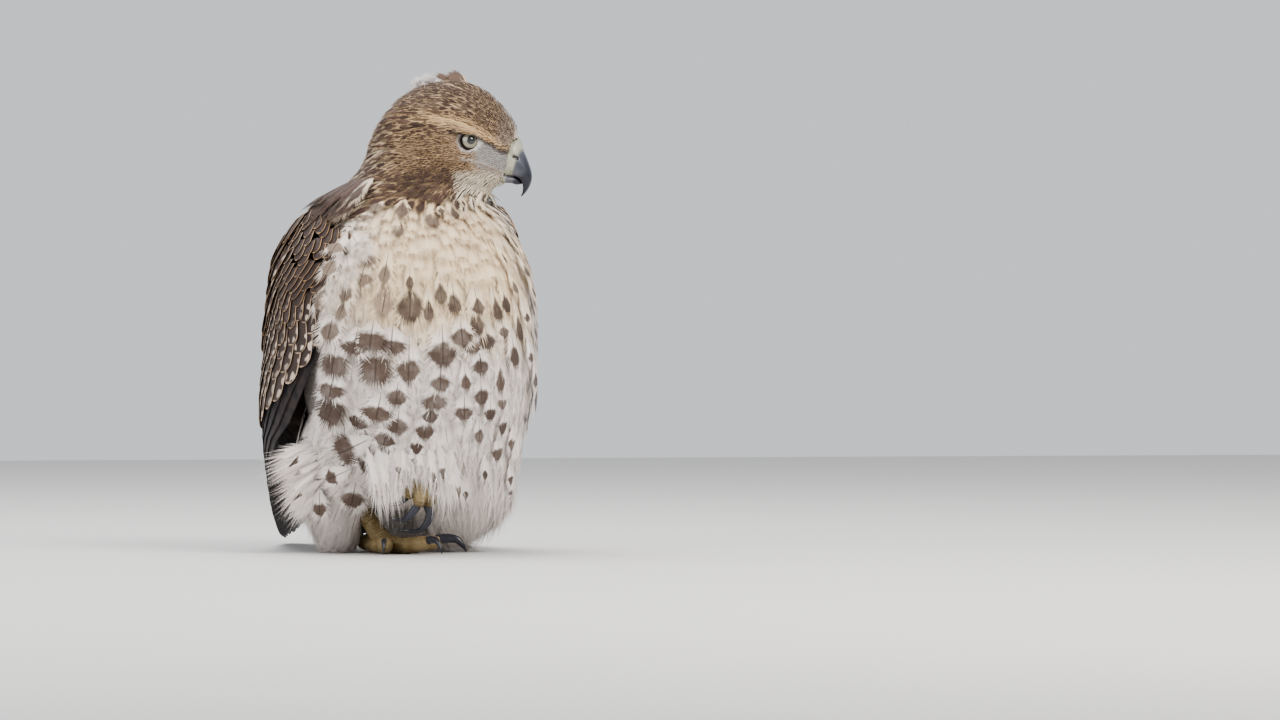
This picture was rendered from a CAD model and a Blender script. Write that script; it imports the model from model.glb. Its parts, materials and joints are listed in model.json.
"""A young red-tailed hawk at life size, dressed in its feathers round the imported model.

The bird faces -Y, its left is +X and the floor is z = 0. Tables are in millimetres, as the
hawk was measured, and MM turns them into metres. Feathers lie on one skin that takes the place
of the flesh, and the wings' and the tail's quills are laid over guide surfaces of their own.
"""

import json
import math

import bmesh
import bpy
import numpy as np
from mathutils import Matrix, Vector
from mathutils.bvhtree import BVHTree
from mathutils.kdtree import KDTree

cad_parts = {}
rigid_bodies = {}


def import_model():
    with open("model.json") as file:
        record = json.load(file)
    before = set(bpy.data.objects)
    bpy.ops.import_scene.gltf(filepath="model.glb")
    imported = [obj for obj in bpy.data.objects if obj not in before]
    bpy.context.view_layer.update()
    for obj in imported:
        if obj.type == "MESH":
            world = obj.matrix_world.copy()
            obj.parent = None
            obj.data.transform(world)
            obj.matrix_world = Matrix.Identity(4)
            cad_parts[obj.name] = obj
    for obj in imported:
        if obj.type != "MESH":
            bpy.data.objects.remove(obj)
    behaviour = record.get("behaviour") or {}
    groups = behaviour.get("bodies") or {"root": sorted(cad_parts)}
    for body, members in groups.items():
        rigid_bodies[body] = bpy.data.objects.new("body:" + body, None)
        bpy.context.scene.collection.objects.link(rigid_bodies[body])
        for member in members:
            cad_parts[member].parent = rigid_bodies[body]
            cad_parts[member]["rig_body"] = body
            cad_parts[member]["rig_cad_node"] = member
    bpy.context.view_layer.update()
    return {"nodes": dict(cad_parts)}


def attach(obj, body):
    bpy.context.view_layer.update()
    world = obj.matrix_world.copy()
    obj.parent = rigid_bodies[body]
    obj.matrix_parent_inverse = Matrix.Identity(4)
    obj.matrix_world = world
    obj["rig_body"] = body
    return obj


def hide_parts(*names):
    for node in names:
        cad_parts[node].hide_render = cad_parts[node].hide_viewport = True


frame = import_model()

# Driving sizes, millimetres and degrees
MM = 0.001
BODY_X = 19
TORSO_X = 21
TORSO_Y = 2
HEAD_CENTRE = Vector((44, -12, 300))
HEAD_TURN = 63
EYE_CENTRE = (19.8, 19.6, -6)
EYE_LOOK = (0.47, 0.88, 0)
EYE_RADIUS = 9
CORNEA = 0.9  # how far it bulges out of the ball

rng = np.random.default_rng(29)

# Head frame: x ahead, y to the bird's left, z up
turn = math.radians(HEAD_TURN - 90)
HEAD = Matrix.Translation(HEAD_CENTRE) @ Matrix.Rotation(turn, 4, "Z")
HEAD_ARRAY = np.array(HEAD)
HEAD_BACK = np.array(HEAD.inverted())

# The photo's view, level and from a little to the bird's right: across it and into it
VIEW_TURN = math.radians(12)
VIEW_RISE = 0.008
VIEW_AIM = (0.1774, -0.0377, 0.1379)
VIEW_DISTANCE = 5.0
VIEW_LENS = 197
VIEW_ACROSS = np.array([math.cos(VIEW_TURN), -math.sin(VIEW_TURN), 0])
VIEW_INTO = np.array([math.sin(VIEW_TURN), math.cos(VIEW_TURN), 0])


def to_head(points):
    """Points of the bird, in millimetres, in the head's own frame."""
    return points @ HEAD_BACK[:3, :3].T + HEAD_BACK[:3, 3]


def from_head(points):
    return np.asarray(points, float) @ HEAD_ARRAY[:3, :3].T + HEAD_ARRAY[:3, 3]


def unit(vectors):
    return vectors / np.maximum(np.linalg.norm(vectors, axis=-1, keepdims=True), 1e-9)


def circle(count):
    return np.linspace(0, 2 * math.pi, count, endpoint=False)


def way_along(line):
    return unit(np.gradient(line[:, :3], axis=0))


def distance_along(line):
    steps = np.linalg.norm(np.diff(line[:, :3], axis=0), axis=1)
    return np.concatenate([[0], np.cumsum(steps)])


def to_left(points):
    """Points of the head's frame with the right side turned over to the left."""
    return np.stack([points[:, 0], np.abs(points[:, 1]), points[:, 2]], 1)


def ramp(x, low, high):
    """A smooth step from 0 at low to 1 at high."""
    t = np.clip((np.asarray(x, float) - low) / (np.asarray(high, float) - low), 0, 1)
    return t * t * (3 - 2 * t)


def bump(x, middle, width):
    return np.exp(-(((np.asarray(x, float) - middle) / width) ** 2))


def mix(a, b, part):
    return a + (b - a) * part


def along(places, values):
    """A smooth curve through the given places that never runs past their values."""
    places = np.array(places, float)
    values = np.array(values, float)
    rise = np.diff(values) / np.diff(places)
    slopes = np.zeros(len(values))
    both = rise[:-1] * rise[1:]
    total = rise[:-1] + rise[1:]
    slopes[1:-1] = np.where(both > 0, 2 * both / np.where(total == 0, 1, total), 0)

    def curve(x):
        x = np.clip(np.asarray(x, float), places[0], places[-1])
        i = np.clip(np.searchsorted(places, x, side="right") - 1, 0, len(places) - 2)
        step = places[i + 1] - places[i]
        t = (x - places[i]) / step
        rest = 1 - t
        return (values[i] * rest**2 * (1 + 2 * t) + slopes[i] * step * t * rest**2
                + values[i + 1] * t**2 * (3 - 2 * t) - slopes[i + 1] * step * t**2 * rest)

    return curve


def columns(table):
    table = np.array(table, float)
    return [along(table[:, 0], table[:, i]) for i in range(1, table.shape[1])]


def linear(*srgb):
    """A colour read by eye, 0 to 255, as the shader wants it."""
    c = np.array(srgb, float) / 255
    return np.where(c <= 0.04045, c / 12.92, ((c + 0.055) / 1.055) ** 2.4)


# Colours
CREAM = linear(242, 220, 186)
WHITE = linear(240, 231, 225)
LEG_WHITE = linear(234, 226, 220)
DOWN_WHITE = linear(246, 242, 240)
BUFF = linear(206, 174, 132)
PALE_BUFF = linear(212, 178, 132)
NAPE_PALE = linear(226, 206, 176)
MARK_BROWN = linear(84, 69, 60)
LIGHT_MARK = linear(142, 124, 108)
HEAD_BROWN = linear(66, 48, 42)
WING_BROWN = linear(70, 57, 52)
WING_DARK = linear(30, 26, 31)
WING_RIM = linear(192, 156, 118)
WING_SPOT = linear(226, 206, 188)
BACK_BROWN = linear(78, 60, 52)
TAIL_BROWN = linear(116, 92, 76)
LORE_GREY = linear(186, 182, 178)
CROWN_EDGE = linear(210, 182, 150)
THROAT = linear(232, 222, 202)
FOREHEAD = linear(200, 188, 174)

# Shades that the finishes mix in, in the shader's own values
ROOT_SHADE = (0.30, 0.26, 0.24)
BARB_SHADE = (0.25, 0.2, 0.17)
SOFT_SHADE = (0.42, 0.33, 0.26)
SHAFT_SHADE = (0.05, 0.035, 0.03)
VANE_SHADE = (0.11, 0.075, 0.06)
LINE_SHADE = (0.012, 0.009, 0.009)
BAR_SHADE = (0.03, 0.022, 0.02)
QUILL_SHADE = (0.02, 0.015, 0.014)
SKIN_SHADE = (0.12, 0.09, 0.08)
HORN_SHADE = (0.02, 0.02, 0.03)
DIRT_SHADE = (0.16, 0.085, 0.02)
GROOVE_SHADE = (0.11, 0.06, 0.015)
RAY_SHADE = (0.02, 0.018, 0.015)


# Nodes of a shader or geometry tree

def feed(tree, socket, value):
    """Links another node's output to a socket, or sets the socket's own value."""
    if isinstance(value, bpy.types.NodeSocket):
        tree.links.new(value, socket)
    else:
        socket.default_value = value


def add(tree, kind, inputs=None, **settings):
    """A new node with its settings and, by name or number, its inputs."""
    node = tree.nodes.new(kind)
    for name, value in settings.items():
        setattr(node, name, value)
    for key, value in (inputs or {}).items():
        feed(tree, node.inputs[key], value)
    return node


def calc(tree, operation, *values):
    return add(tree, "ShaderNodeMath", dict(enumerate(values)), operation=operation).outputs[0]


def smooth(tree, value, low, high):
    """The smooth step of a value, from 0 at low to 1 at high."""
    return add(tree, "ShaderNodeMapRange", {"Value": value, "From Min": low, "From Max": high},
               interpolation_type="SMOOTHSTEP").outputs[0]


def blend(tree, part, *colours):
    """A mix of two colours, each an output or three numbers."""
    first, second = (c if isinstance(c, bpy.types.NodeSocket) else (*c, 1) for c in colours)
    return add(tree, "ShaderNodeMix", {0: part, 6: first, 7: second}, data_type="RGBA").outputs[2]


def shader_group(name, inputs, outputs):
    """A shader node group with named sockets, and its first and last node."""
    group = bpy.data.node_groups.new(name, "ShaderNodeTree")
    for socket, kind in inputs.items():
        group.interface.new_socket(socket, in_out="INPUT", socket_type=kind)
    for socket, kind in outputs.items():
        group.interface.new_socket(socket, in_out="OUTPUT", socket_type=kind)
    return group, group.nodes.new("NodeGroupInput"), group.nodes.new("NodeGroupOutput")


FLOAT = "NodeSocketFloat"
COLOUR = "NodeSocketColor"
VECTOR = "NodeSocketVector"


def barb_group():
    """Fine slanting barbs on either side of a shaft, from a feather's own map."""
    group, start, end = shader_group("barbs", {"Vane": VECTOR, "Count": FLOAT}, {"Lines": FLOAT})
    split = add(group, "ShaderNodeSeparateXYZ", inputs={0: start.outputs["Vane"]})
    across = calc(group, "ABSOLUTE", calc(group, "SUBTRACT", split.outputs[0], 0.5))
    slant = calc(group, "SUBTRACT", split.outputs[1], calc(group, "MULTIPLY", across, 0.5))
    phase = calc(group, "MULTIPLY", calc(group, "MULTIPLY", slant, start.outputs["Count"]), 6.283)
    wave = calc(group, "SINE", phase)
    group.links.new(calc(group, "MULTIPLY_ADD", wave, 0.5, 0.5), end.inputs["Lines"])
    return group


def mark_group():
    """Where a feather carries its dark mark: wide, long and swept as its numbers say."""
    group, start, end = shader_group(
        "feather mark", {"Vane": VECTOR, "Mark": VECTOR, "Seed": FLOAT}, {"Ink": FLOAT, "Shaft": FLOAT})
    vane = add(group, "ShaderNodeSeparateXYZ", inputs={0: start.outputs["Vane"]})
    mark = add(group, "ShaderNodeSeparateXYZ", inputs={0: start.outputs["Mark"]})
    place = add(group, "ShaderNodeCombineXYZ", inputs={0: start.outputs["Seed"]})
    moved = add(group, "ShaderNodeVectorMath", operation="ADD",
                inputs={0: start.outputs["Vane"], 1: place.outputs[0]})
    noise = add(group, "ShaderNodeTexNoise", inputs={"Vector": moved.outputs[0], "Scale": 5.0, "Detail": 4.0})
    wobble = calc(group, "MULTIPLY", calc(group, "SUBTRACT", noise.outputs[0], 0.5), 0.3)
    u = calc(group, "MULTIPLY", calc(group, "SUBTRACT", vane.outputs[0], 0.5), 2.0)
    away = calc(group, "ABSOLUTE", u)
    swept = calc(group, "MULTIPLY", away, mark.outputs[2])
    down = calc(group, "SUBTRACT", calc(group, "ADD", vane.outputs[1], wobble), 0.76)
    down = calc(group, "SUBTRACT", down, swept)
    wide = calc(group, "POWER", calc(group, "DIVIDE", away, calc(group, "MAXIMUM", mark.outputs[0], 0.01)),
                1.3)
    tall = calc(group, "POWER", calc(group, "DIVIDE", calc(group, "ABSOLUTE", down),
                                     calc(group, "MAXIMUM", mark.outputs[1], 0.01)), 1.3)
    group.links.new(smooth(group, calc(group, "ADD", wide, tall), 1.3, 0.75), end.inputs["Ink"])
    near = smooth(group, away, 0.07, 0.02)
    reach = smooth(group, vane.outputs[1], 0.94, 0.8)
    group.links.new(calc(group, "MULTIPLY", near, reach), end.inputs["Shaft"])
    return group


def edge_group():
    """A vane's rim and the pale spots near it."""
    group, start, end = shader_group(
        "vane edge", {"Vane": VECTOR, "Rim": FLOAT, "Spots": FLOAT, "Seed": FLOAT},
                                     {"Edge": FLOAT, "Spot": FLOAT})
    vane = add(group, "ShaderNodeSeparateXYZ", inputs={0: start.outputs["Vane"]})
    away = calc(group, "ABSOLUTE",
                calc(group, "MULTIPLY", calc(group, "SUBTRACT", vane.outputs[0], 0.5), 2.0))
    inner = calc(group, "SUBTRACT", 1.0, start.outputs["Rim"])
    side = smooth(group, away, inner, calc(group, "ADD", inner, 0.06))
    tip_from = calc(group, "SUBTRACT", 1.0, calc(group, "MULTIPLY", start.outputs["Rim"], 0.32))
    tip = smooth(group, vane.outputs[1], tip_from, calc(group, "ADD", tip_from, 0.03))
    both = calc(group, "MAXIMUM", calc(group, "MULTIPLY", side, smooth(group, vane.outputs[1], 0.3, 0.6)),
                tip)
    group.links.new(both, end.inputs["Edge"])
    place = add(group, "ShaderNodeCombineXYZ", inputs={2: start.outputs["Seed"]})
    moved = add(group, "ShaderNodeVectorMath", operation="ADD",
                inputs={0: start.outputs["Vane"], 1: place.outputs[0]})
    noise = add(group, "ShaderNodeTexNoise", inputs={"Vector": moved.outputs[0], "Scale": 5.0, "Detail": 1.0})
    total = None
    for at, off in ((0.68, 0.9), (0.88, 0.62)):
        across = calc(group, "DIVIDE", calc(group, "SUBTRACT", away, off), 0.45)
        down = calc(group, "DIVIDE", calc(group, "SUBTRACT", vane.outputs[1], at), 0.085)
        far = calc(group, "ADD", calc(group, "POWER", calc(group, "ABSOLUTE", across), 2.0),
                   calc(group, "POWER", calc(group, "ABSOLUTE", down), 2.0))
        far = calc(group, "ADD", far, calc(group, "MULTIPLY", noise.outputs[0], 2.6))
        spot = smooth(group, far, 1.9, 1.5)
        total = spot if total is None else calc(group, "MAXIMUM", total, spot)
    group.links.new(calc(group, "MULTIPLY", total, start.outputs["Spots"]), end.inputs["Spot"])
    return group


def mottle_group():
    """Soft uneven tone over skin and coat."""
    group, start, end = shader_group("mottle", {"Scale": FLOAT}, {"Tone": FLOAT})
    place = add(group, "ShaderNodeTexCoord").outputs["Object"]
    noise = add(group, "ShaderNodeTexNoise",
                inputs={"Vector": place, "Scale": start.outputs["Scale"], "Detail": 3.0})
    group.links.new(noise.outputs[0], end.inputs["Tone"])
    return group


BARBS = barb_group()
MARK = mark_group()
EDGE = edge_group()
MOTTLE = mottle_group()


def material(name, roughness, sheen=0.0, coat=0.0):
    """A new material: its tree and its principled shader."""
    made = bpy.data.materials.new(name)
    made.use_nodes = True
    shader = made.node_tree.nodes["Principled BSDF"]
    shader.inputs["Roughness"].default_value = roughness
    shader.inputs["Sheen Weight"].default_value = sheen
    shader.inputs["Coat Weight"].default_value = coat
    shader.inputs["Specular IOR Level"].default_value = 0.3
    return made, made.node_tree, shader


def attribute(tree, name):
    return add(tree, "ShaderNodeAttribute", attribute_name=name)


def use(tree, group, **inputs):
    return add(tree, "ShaderNodeGroup", inputs, node_tree=group).outputs


def finished(made, colour, height=None, strength=0.0, depth=0.0004):
    """The material with its colour and the relief of a height."""
    tree = made.node_tree
    shader = tree.nodes["Principled BSDF"]
    tree.links.new(colour, shader.inputs["Base Color"])
    if height is not None:
        relief = add(tree, "ShaderNodeBump", {"Strength": strength, "Distance": depth, "Height": height})
        tree.links.new(relief.outputs[0], shader.inputs["Normal"])
    return made


def soft_feather():
    """Body feathers: a ground colour, a dark mark and shaft, fine barbs."""
    made, tree, _ = material("soft feather", 0.82, sheen=0.15)
    vane = add(tree, "ShaderNodeUVMap", uv_map="Vane").outputs[0]
    ground = attribute(tree, "ground").outputs["Color"]
    ink = attribute(tree, "ink").outputs["Color"]
    mark = attribute(tree, "mark").outputs["Vector"]
    seed = attribute(tree, "seed").outputs["Fac"]
    lines = use(tree, BARBS, Vane=vane, Count=34.0)["Lines"]
    marked = use(tree, MARK, Vane=vane, Mark=mark, Seed=seed)
    tone = use(tree, MOTTLE, Scale=90.0)["Tone"]
    split = add(tree, "ShaderNodeSeparateXYZ", inputs={0: vane})
    root = smooth(tree, split.outputs[1], 0.45, 0.0)
    shaded = blend(tree, calc(tree, "MULTIPLY", root, 0.2), ground, ROOT_SHADE)
    dim = calc(tree, "MULTIPLY", calc(tree, "SUBTRACT", 1.0, lines), 0.12)
    shaded = blend(tree, dim, shaded, BARB_SHADE)
    soft = calc(tree, "MULTIPLY", smooth(tree, tone, 0.75, 0.35), 0.16)
    shaded = blend(tree, soft, shaded, SOFT_SHADE)
    strength = calc(tree, "MULTIPLY_ADD", smooth(tree, tone, 0.3, 0.6), 0.12, 0.87)
    inked = blend(tree, calc(tree, "MULTIPLY", marked["Ink"], strength), shaded, ink)
    strong = calc(tree, "MULTIPLY", marked["Shaft"], attribute(tree, "shaft").outputs["Fac"])
    return finished(made, blend(tree, strong, inked, SHAFT_SHADE), lines, 0.25)


def stiff_vane():
    """Quills of wings and tail: dark vanes with a rim, spots, bars and a glossy shaft."""
    made, tree, shader = material("stiff vane", 0.55, sheen=0.05)
    vane = add(tree, "ShaderNodeUVMap", uv_map="Vane").outputs[0]
    ground = attribute(tree, "ground").outputs["Color"]
    rim = attribute(tree, "ink").outputs["Color"]
    looks = add(tree, "ShaderNodeSeparateXYZ", inputs={0: attribute(tree, "mark").outputs["Vector"]})
    seed = attribute(tree, "seed").outputs["Fac"]
    lines = use(tree, BARBS, Vane=vane, Count=70.0)["Lines"]
    edge = use(tree, EDGE, Vane=vane, Rim=looks.outputs[0], Spots=looks.outputs[1], Seed=seed)
    split = add(tree, "ShaderNodeSeparateXYZ", inputs={0: vane})
    tone = use(tree, MOTTLE, Scale=140.0)["Tone"]
    base = blend(tree, calc(tree, "MULTIPLY", smooth(tree, tone, 0.35, 0.7), 0.35), ground, VANE_SHADE)
    base = blend(tree, calc(tree, "MULTIPLY", lines, 0.18), base, LINE_SHADE)
    band = calc(tree, "SINE", calc(tree, "MULTIPLY", split.outputs[1], 62.8))
    bars = calc(tree, "MULTIPLY", smooth(tree, band, 0.15, 0.6), looks.outputs[2])
    base = blend(tree, bars, base, BAR_SHADE)
    edged = blend(tree, calc(tree, "MULTIPLY", edge["Edge"], 0.85), base, rim)
    spotted = blend(tree, edge["Spot"], edged, tuple(WING_SPOT))
    away = calc(tree, "ABSOLUTE", calc(tree, "SUBTRACT", split.outputs[0], 0.5))
    shaft = calc(tree, "MULTIPLY", smooth(tree, away, 0.022, 0.01), 0.7)
    rough = calc(tree, "MULTIPLY_ADD", edge["Edge"], 0.2, 0.5)
    tree.links.new(rough, shader.inputs["Roughness"])
    return finished(made, blend(tree, shaft, spotted, QUILL_SHADE), lines, 0.35)


def skin_finish():
    """The skin under the coat, which has the coat's colours, and is bare before the eyes."""
    made, tree, _ = material("feathered skin", 0.85)
    ground = attribute(tree, "ground").outputs["Color"]
    tone = use(tree, MOTTLE, Scale=420.0)["Tone"]
    dim = calc(tree, "MULTIPLY", smooth(tree, tone, 0.62, 0.35), 0.4)
    return finished(made, blend(tree, dim, ground, SKIN_SHADE), tone, 0.4, 0.0006)


def horn_finish(name, roughness):
    """Horn whose colour runs along the piece, polished and finely streaked."""
    made, tree, _ = material(name, roughness, coat=0.35)
    ground = attribute(tree, "ground").outputs["Color"]
    tone = use(tree, MOTTLE, Scale=260.0)["Tone"]
    dim = calc(tree, "MULTIPLY", smooth(tree, tone, 0.4, 0.7), 0.25)
    return finished(made, blend(tree, dim, ground, HORN_SHADE), tone, 0.15)


def scaled_skin():
    """The yellow skin of the feet, with fine net-like scales between the large ones."""
    made, tree, _ = material("scaled foot skin", 0.5, coat=0.1)
    place = add(tree, "ShaderNodeTexCoord").outputs["Object"]
    ground = attribute(tree, "ground").outputs["Color"]
    cells = add(tree, "ShaderNodeTexVoronoi", feature="DISTANCE_TO_EDGE",
                inputs={"Vector": place, "Scale": 620.0})
    groove = smooth(tree, cells.outputs["Distance"], 0.1, 0.02)
    tone = use(tree, MOTTLE, Scale=180.0)["Tone"]
    dirt = calc(tree, "MULTIPLY", smooth(tree, tone, 0.45, 0.7), 0.45)
    base = blend(tree, dirt, ground, DIRT_SHADE)
    base = blend(tree, calc(tree, "MULTIPLY", groove, 0.5), base, GROOVE_SHADE)
    return finished(made, base, cells.outputs["Distance"], 0.5, 0.0006)


def eye_finish():
    """A wet eye: black pupil, grey-buff iris with fine rays, dark rim."""
    made, tree, shader = material("eye", 0.05, coat=1.0)
    shader.inputs["Specular IOR Level"].default_value = 0.6
    shader.inputs["Coat Roughness"].default_value = 0.02
    ground = attribute(tree, "ground").outputs["Color"]
    tone = use(tree, MOTTLE, Scale=900.0)["Tone"]
    dim = calc(tree, "MULTIPLY", smooth(tree, tone, 0.4, 0.65), 0.3)
    return finished(made, blend(tree, dim, ground, RAY_SHADE))


SOFT_FEATHER = soft_feather()
STIFF_VANE = stiff_vane()
SKIN = skin_finish()
BILL_HORN = horn_finish("bill horn", 0.32)
CLAW_HORN = horn_finish("claw horn", 0.25)
FOOT_SKIN = scaled_skin()
EYE = eye_finish()


# Meshes

def new_mesh(name, points, faces, finish):
    """A linked object from points in millimetres."""
    mesh = bpy.data.meshes.new(name)
    mesh.from_pydata([tuple(p) for p in np.asarray(points, float) * MM], [], [tuple(f) for f in faces])
    mesh.materials.append(finish)
    mesh.polygons.foreach_set("use_smooth", [True] * len(mesh.polygons))
    mesh.update()
    made = bpy.data.objects.new(name, mesh)
    bpy.context.scene.collection.objects.link(made)
    return made


def read(items, field, wide=1, kind=np.float32):
    """One field of all items, as rows of the given width."""
    out = np.empty(len(items) * wide, kind)
    items.foreach_get(field, out)
    return out.reshape(-1, wide) if wide > 1 else out


def write_map(mesh, name, places):
    """A map with one place for each corner of the faces."""
    mesh.uv_layers.new(name=name).data.foreach_set("uv", places.astype(np.float32).ravel())


def paint(made, name, colours):
    """A colour, one for each vertex, that the finish reads."""
    colours = np.broadcast_to(colours, (len(made.data.vertices), 3))
    layer = made.data.attributes.new(name, "FLOAT_COLOR", "POINT")
    layer.data.foreach_set("color",
                           np.hstack([colours, np.ones((len(colours), 1))]).astype(np.float32).ravel())


def note(made, name, values):
    """Numbers or vectors, one for each vertex, that the finish or the coat reads."""
    values = np.asarray(values)
    whole = values.dtype.kind == "i"
    kind = "FLOAT_VECTOR" if values.ndim > 1 else "INT" if whole else "FLOAT"
    layer = made.data.attributes.new(name, kind, "POINT")
    field = "vector" if values.ndim > 1 else "value"
    layer.data.foreach_set(field, values.astype(np.int32 if whole else np.float32).ravel())


def coords(made):
    return read(made.data.vertices, "co", 3).astype(float) / MM


def settle(made, points):
    made.data.vertices.foreach_set("co", (np.asarray(points) * MM).astype(np.float32).ravel())
    made.data.update()


def outwards(made, merge=True):
    """Turns every face out, and merges doubles first."""
    shape = bmesh.new()
    shape.from_mesh(made.data)
    if merge:
        bmesh.ops.remove_doubles(shape, verts=shape.verts, dist=1e-6)
    bmesh.ops.recalc_face_normals(shape, faces=shape.faces)
    shape.to_mesh(made.data)
    shape.free()


def ring_faces(rings, sides):
    """Quads round a loft and a fan at each end, whose middles are the last two points."""
    faces = []
    for i in range(rings - 1):
        for j in range(sides):
            a = i * sides + j
            b = i * sides + (j + 1) % sides
            faces.append((a, b, b + sides, a + sides))
    for first, middle in ((0, rings * sides), ((rings - 1) * sides, rings * sides + 1)):
        faces += [(first + j, first + (j + 1) % sides, middle) for j in range(sides)]
    return faces


def capped(rings):
    """All points of a loft and the middles of its two ends."""
    return np.vstack([rings.reshape(-1, 3), rings[0].mean(0), rings[-1].mean(0)])


def run_of(rings):
    """How far along a capped loft each point lies, from 0 to 1."""
    return np.concatenate([np.repeat(np.linspace(0, 1, len(rings)), rings.shape[1]), [0, 1]])


def lofted(name, rings, finish):
    """A closed skin over rings of points."""
    rings = np.asarray(rings, float)
    made = new_mesh(name, capped(rings), ring_faces(*rings.shape[:2]), finish)
    outwards(made)
    return made


def spline(stations, count):
    """Points and radii of a smooth curve through rows of x, y, z and further values."""
    table = np.asarray(stations, float)
    reach = np.linspace(0, 1, len(table))
    t = np.linspace(0, 1, count)
    padded = np.vstack([2 * table[0] - table[1], table, 2 * table[-1] - table[-2]])
    i = np.clip((t * (len(table) - 1)).astype(int), 0, len(table) - 2)
    f = (t - reach[i]) * (len(table) - 1)
    f = f[:, None]
    a, b, c, d = padded[i], padded[i + 1], padded[i + 2], padded[i + 3]
    return 0.5 * (2 * b + (c - a) * f + (2 * a - 5 * b + 4 * c - d) * f**2 + (3 * b - a - 3 * c + d) * f**3)


def joined(name, pieces):
    """One object from several, with the first one's finish."""
    bpy.ops.object.select_all(action="DESELECT")
    for piece in pieces:
        piece.select_set(True)
    bpy.context.view_layer.objects.active = pieces[0]
    bpy.ops.object.join()
    pieces[0].name = name
    return pieces[0]


def with_modifiers(made):
    """Applies the live modifiers to the mesh."""
    depsgraph = bpy.context.evaluated_depsgraph_get()
    mesh = bpy.data.meshes.new_from_object(made.evaluated_get(depsgraph))
    made.modifiers.clear()
    made.data = mesh
    return made


# Skin

# Height, middle x and y, half width and half depth of each leg's trousers
RIGHT_TROUSERS = [[4, -31, 19, 13, 13], [12, -32, 18, 16, 16], [20, -33, 16, 19, 20], [40, -35, 12, 26, 28],
                  [60, -33, 8, 33, 34], [100, -18, 5, 40, 42]]
LEFT_TROUSERS = [[10, 50, 19, 14, 14], [15, 50, 18, 22, 23], [25, 55, 12, 30, 31], [45, 58, 6, 37, 40],
                 [66, 58, 2, 40, 44], [95, 50, 0, 40, 42]]
UNDERTAIL = [[28, 47, 54, 8, 24], [31, 62, 34, 9, 28], [34, 84, 17, 8, 26], [34, 110, 8, 5, 20],
             [32, 130, 4, 2.5, 12]]


def trousers(stations):
    x, y, wide, deep = columns(stations)
    heights = np.linspace(stations[0][0], stations[-1][0], 24)
    angles = circle(36)
    rings = [[(x(z) + wide(z) * math.cos(a), y(z) + deep(z) * math.sin(a),
               z) for a in angles] for z in heights]
    return lofted("trousers", rings, SKIN)


def vent():
    """The soft hump of the undertail, as rings across its run."""
    line = spline(UNDERTAIL, 24)
    way = way_along(line)
    up = np.cross(way, [1, 0, 0])
    angles = circle(28)
    rings = [[line[i, :3] + np.array([1, 0, 0]) * line[i, 4] * math.cos(a) + up[i] * line[i, 3] * math.sin(a)
              for a in angles] for i in range(len(line))]
    return lofted("vent", rings, SKIN)


# Each brow's ridge in the head's frame: ahead, out, up and its radius
BROW_RIDGE = [[1, 31.5, 5, 1.6], [9, 32.4, 2.8, 2.4], [18, 31.6, 1.0, 2.7], [26, 28.6, -0.4, 2.7],
              [33, 23.4, -3.6, 2.5],
              [40, 16.8, -7.6, 2.1], [46, 12, -11.2, 1.4]]
# The gape's line from its corner to the bill
GAPE = [[16.5, 31.5, -18.5], [24, 27.5, -21], [32, 21.5, -24], [40, 16, -27.5], [48, 12, -31]]


def tube(name, stations, finish, sides=16, count=40):
    """A closed tube along rows of x, y, z and radius."""
    line = spline(stations, count)
    way = way_along(line)
    across = unit(np.cross(way, [0.1, 0.2, 1]))
    up = np.cross(across, way)
    angles = circle(sides)
    rings = [[line[i, :3] + (across[i] * math.cos(a) + up[i] * math.sin(a)) * line[i, 3] for a in angles]
             for i in range(count)]
    return lofted(name, rings, finish)


def brow(side):
    table = np.array(BROW_RIDGE, float) * [1, side, 1, 1]
    table[:, :3] = from_head(table[:, :3])
    return tube("brow", table, SKIN)


def path_distance(points, path):
    """How far points lie from a line in the head's frame, taken on both sides."""
    line = spline(np.array(path, float)[:, :3], 40)
    return np.sqrt(((to_left(to_head(points))[:, None, :] - line[None]) ** 2).sum(2).min(1))


def copied(node):
    piece = frame["nodes"][node].copy()
    piece.data = piece.data.copy()
    piece.parent = None
    piece.data.materials.clear()
    piece.data.materials.append(SKIN)
    bpy.context.scene.collection.objects.link(piece)
    outwards(piece)
    return piece


FLESH = ["torso", "neck", "head"]
VOXEL = 0.0017


def whole_form():
    """Torso, neck, head, trousers, vent and brows run together out to the coat's tips."""
    parts = [copied(name) for name in FLESH]
    parts += [trousers(RIGHT_TROUSERS), trousers(LEFT_TROUSERS), vent(), brow(1), brow(-1)]
    form = joined("skin", parts)
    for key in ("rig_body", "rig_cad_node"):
        if key in form:
            del form[key]
    form.modifiers.new("remesh", "REMESH").voxel_size = VOXEL
    with_modifiers(form)
    easing = form.modifiers.new("ease", "SMOOTH")
    easing.factor = 0.5
    easing.iterations = 4
    with_modifiers(form)
    form.data.materials.clear()
    form.data.materials.append(SKIN)
    return form


def surface_of(made):
    """Nearest points and normals on a mesh, in millimetres."""
    points = coords(made)
    faces = [tuple(p.vertices) for p in made.data.polygons]
    tree = BVHTree.FromPolygons([tuple(p) for p in points], faces)

    def nearest(wanted):
        found = [tree.find_nearest(Vector(p)) for p in wanted]
        return (np.array([f[0] for f in found]), np.array([f[1] for f in found]))

    def seen(across, heights):
        """The places first met in the photo's view, their normals and which of the rays meet the mesh."""
        starts = np.array([TORSO_X, TORSO_Y, 0]) + np.outer(across, VIEW_ACROSS) - 400 * VIEW_INTO
        starts[:, 2] = heights
        found = [tree.ray_cast(Vector(start), Vector(VIEW_INTO)) for start in starts]
        met = np.array([f[0] is not None for f in found])
        found = [f for f in found if f[0] is not None]
        return np.array([f[0] for f in found]), np.array([f[1] for f in found]), met

    return nearest, seen


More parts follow.
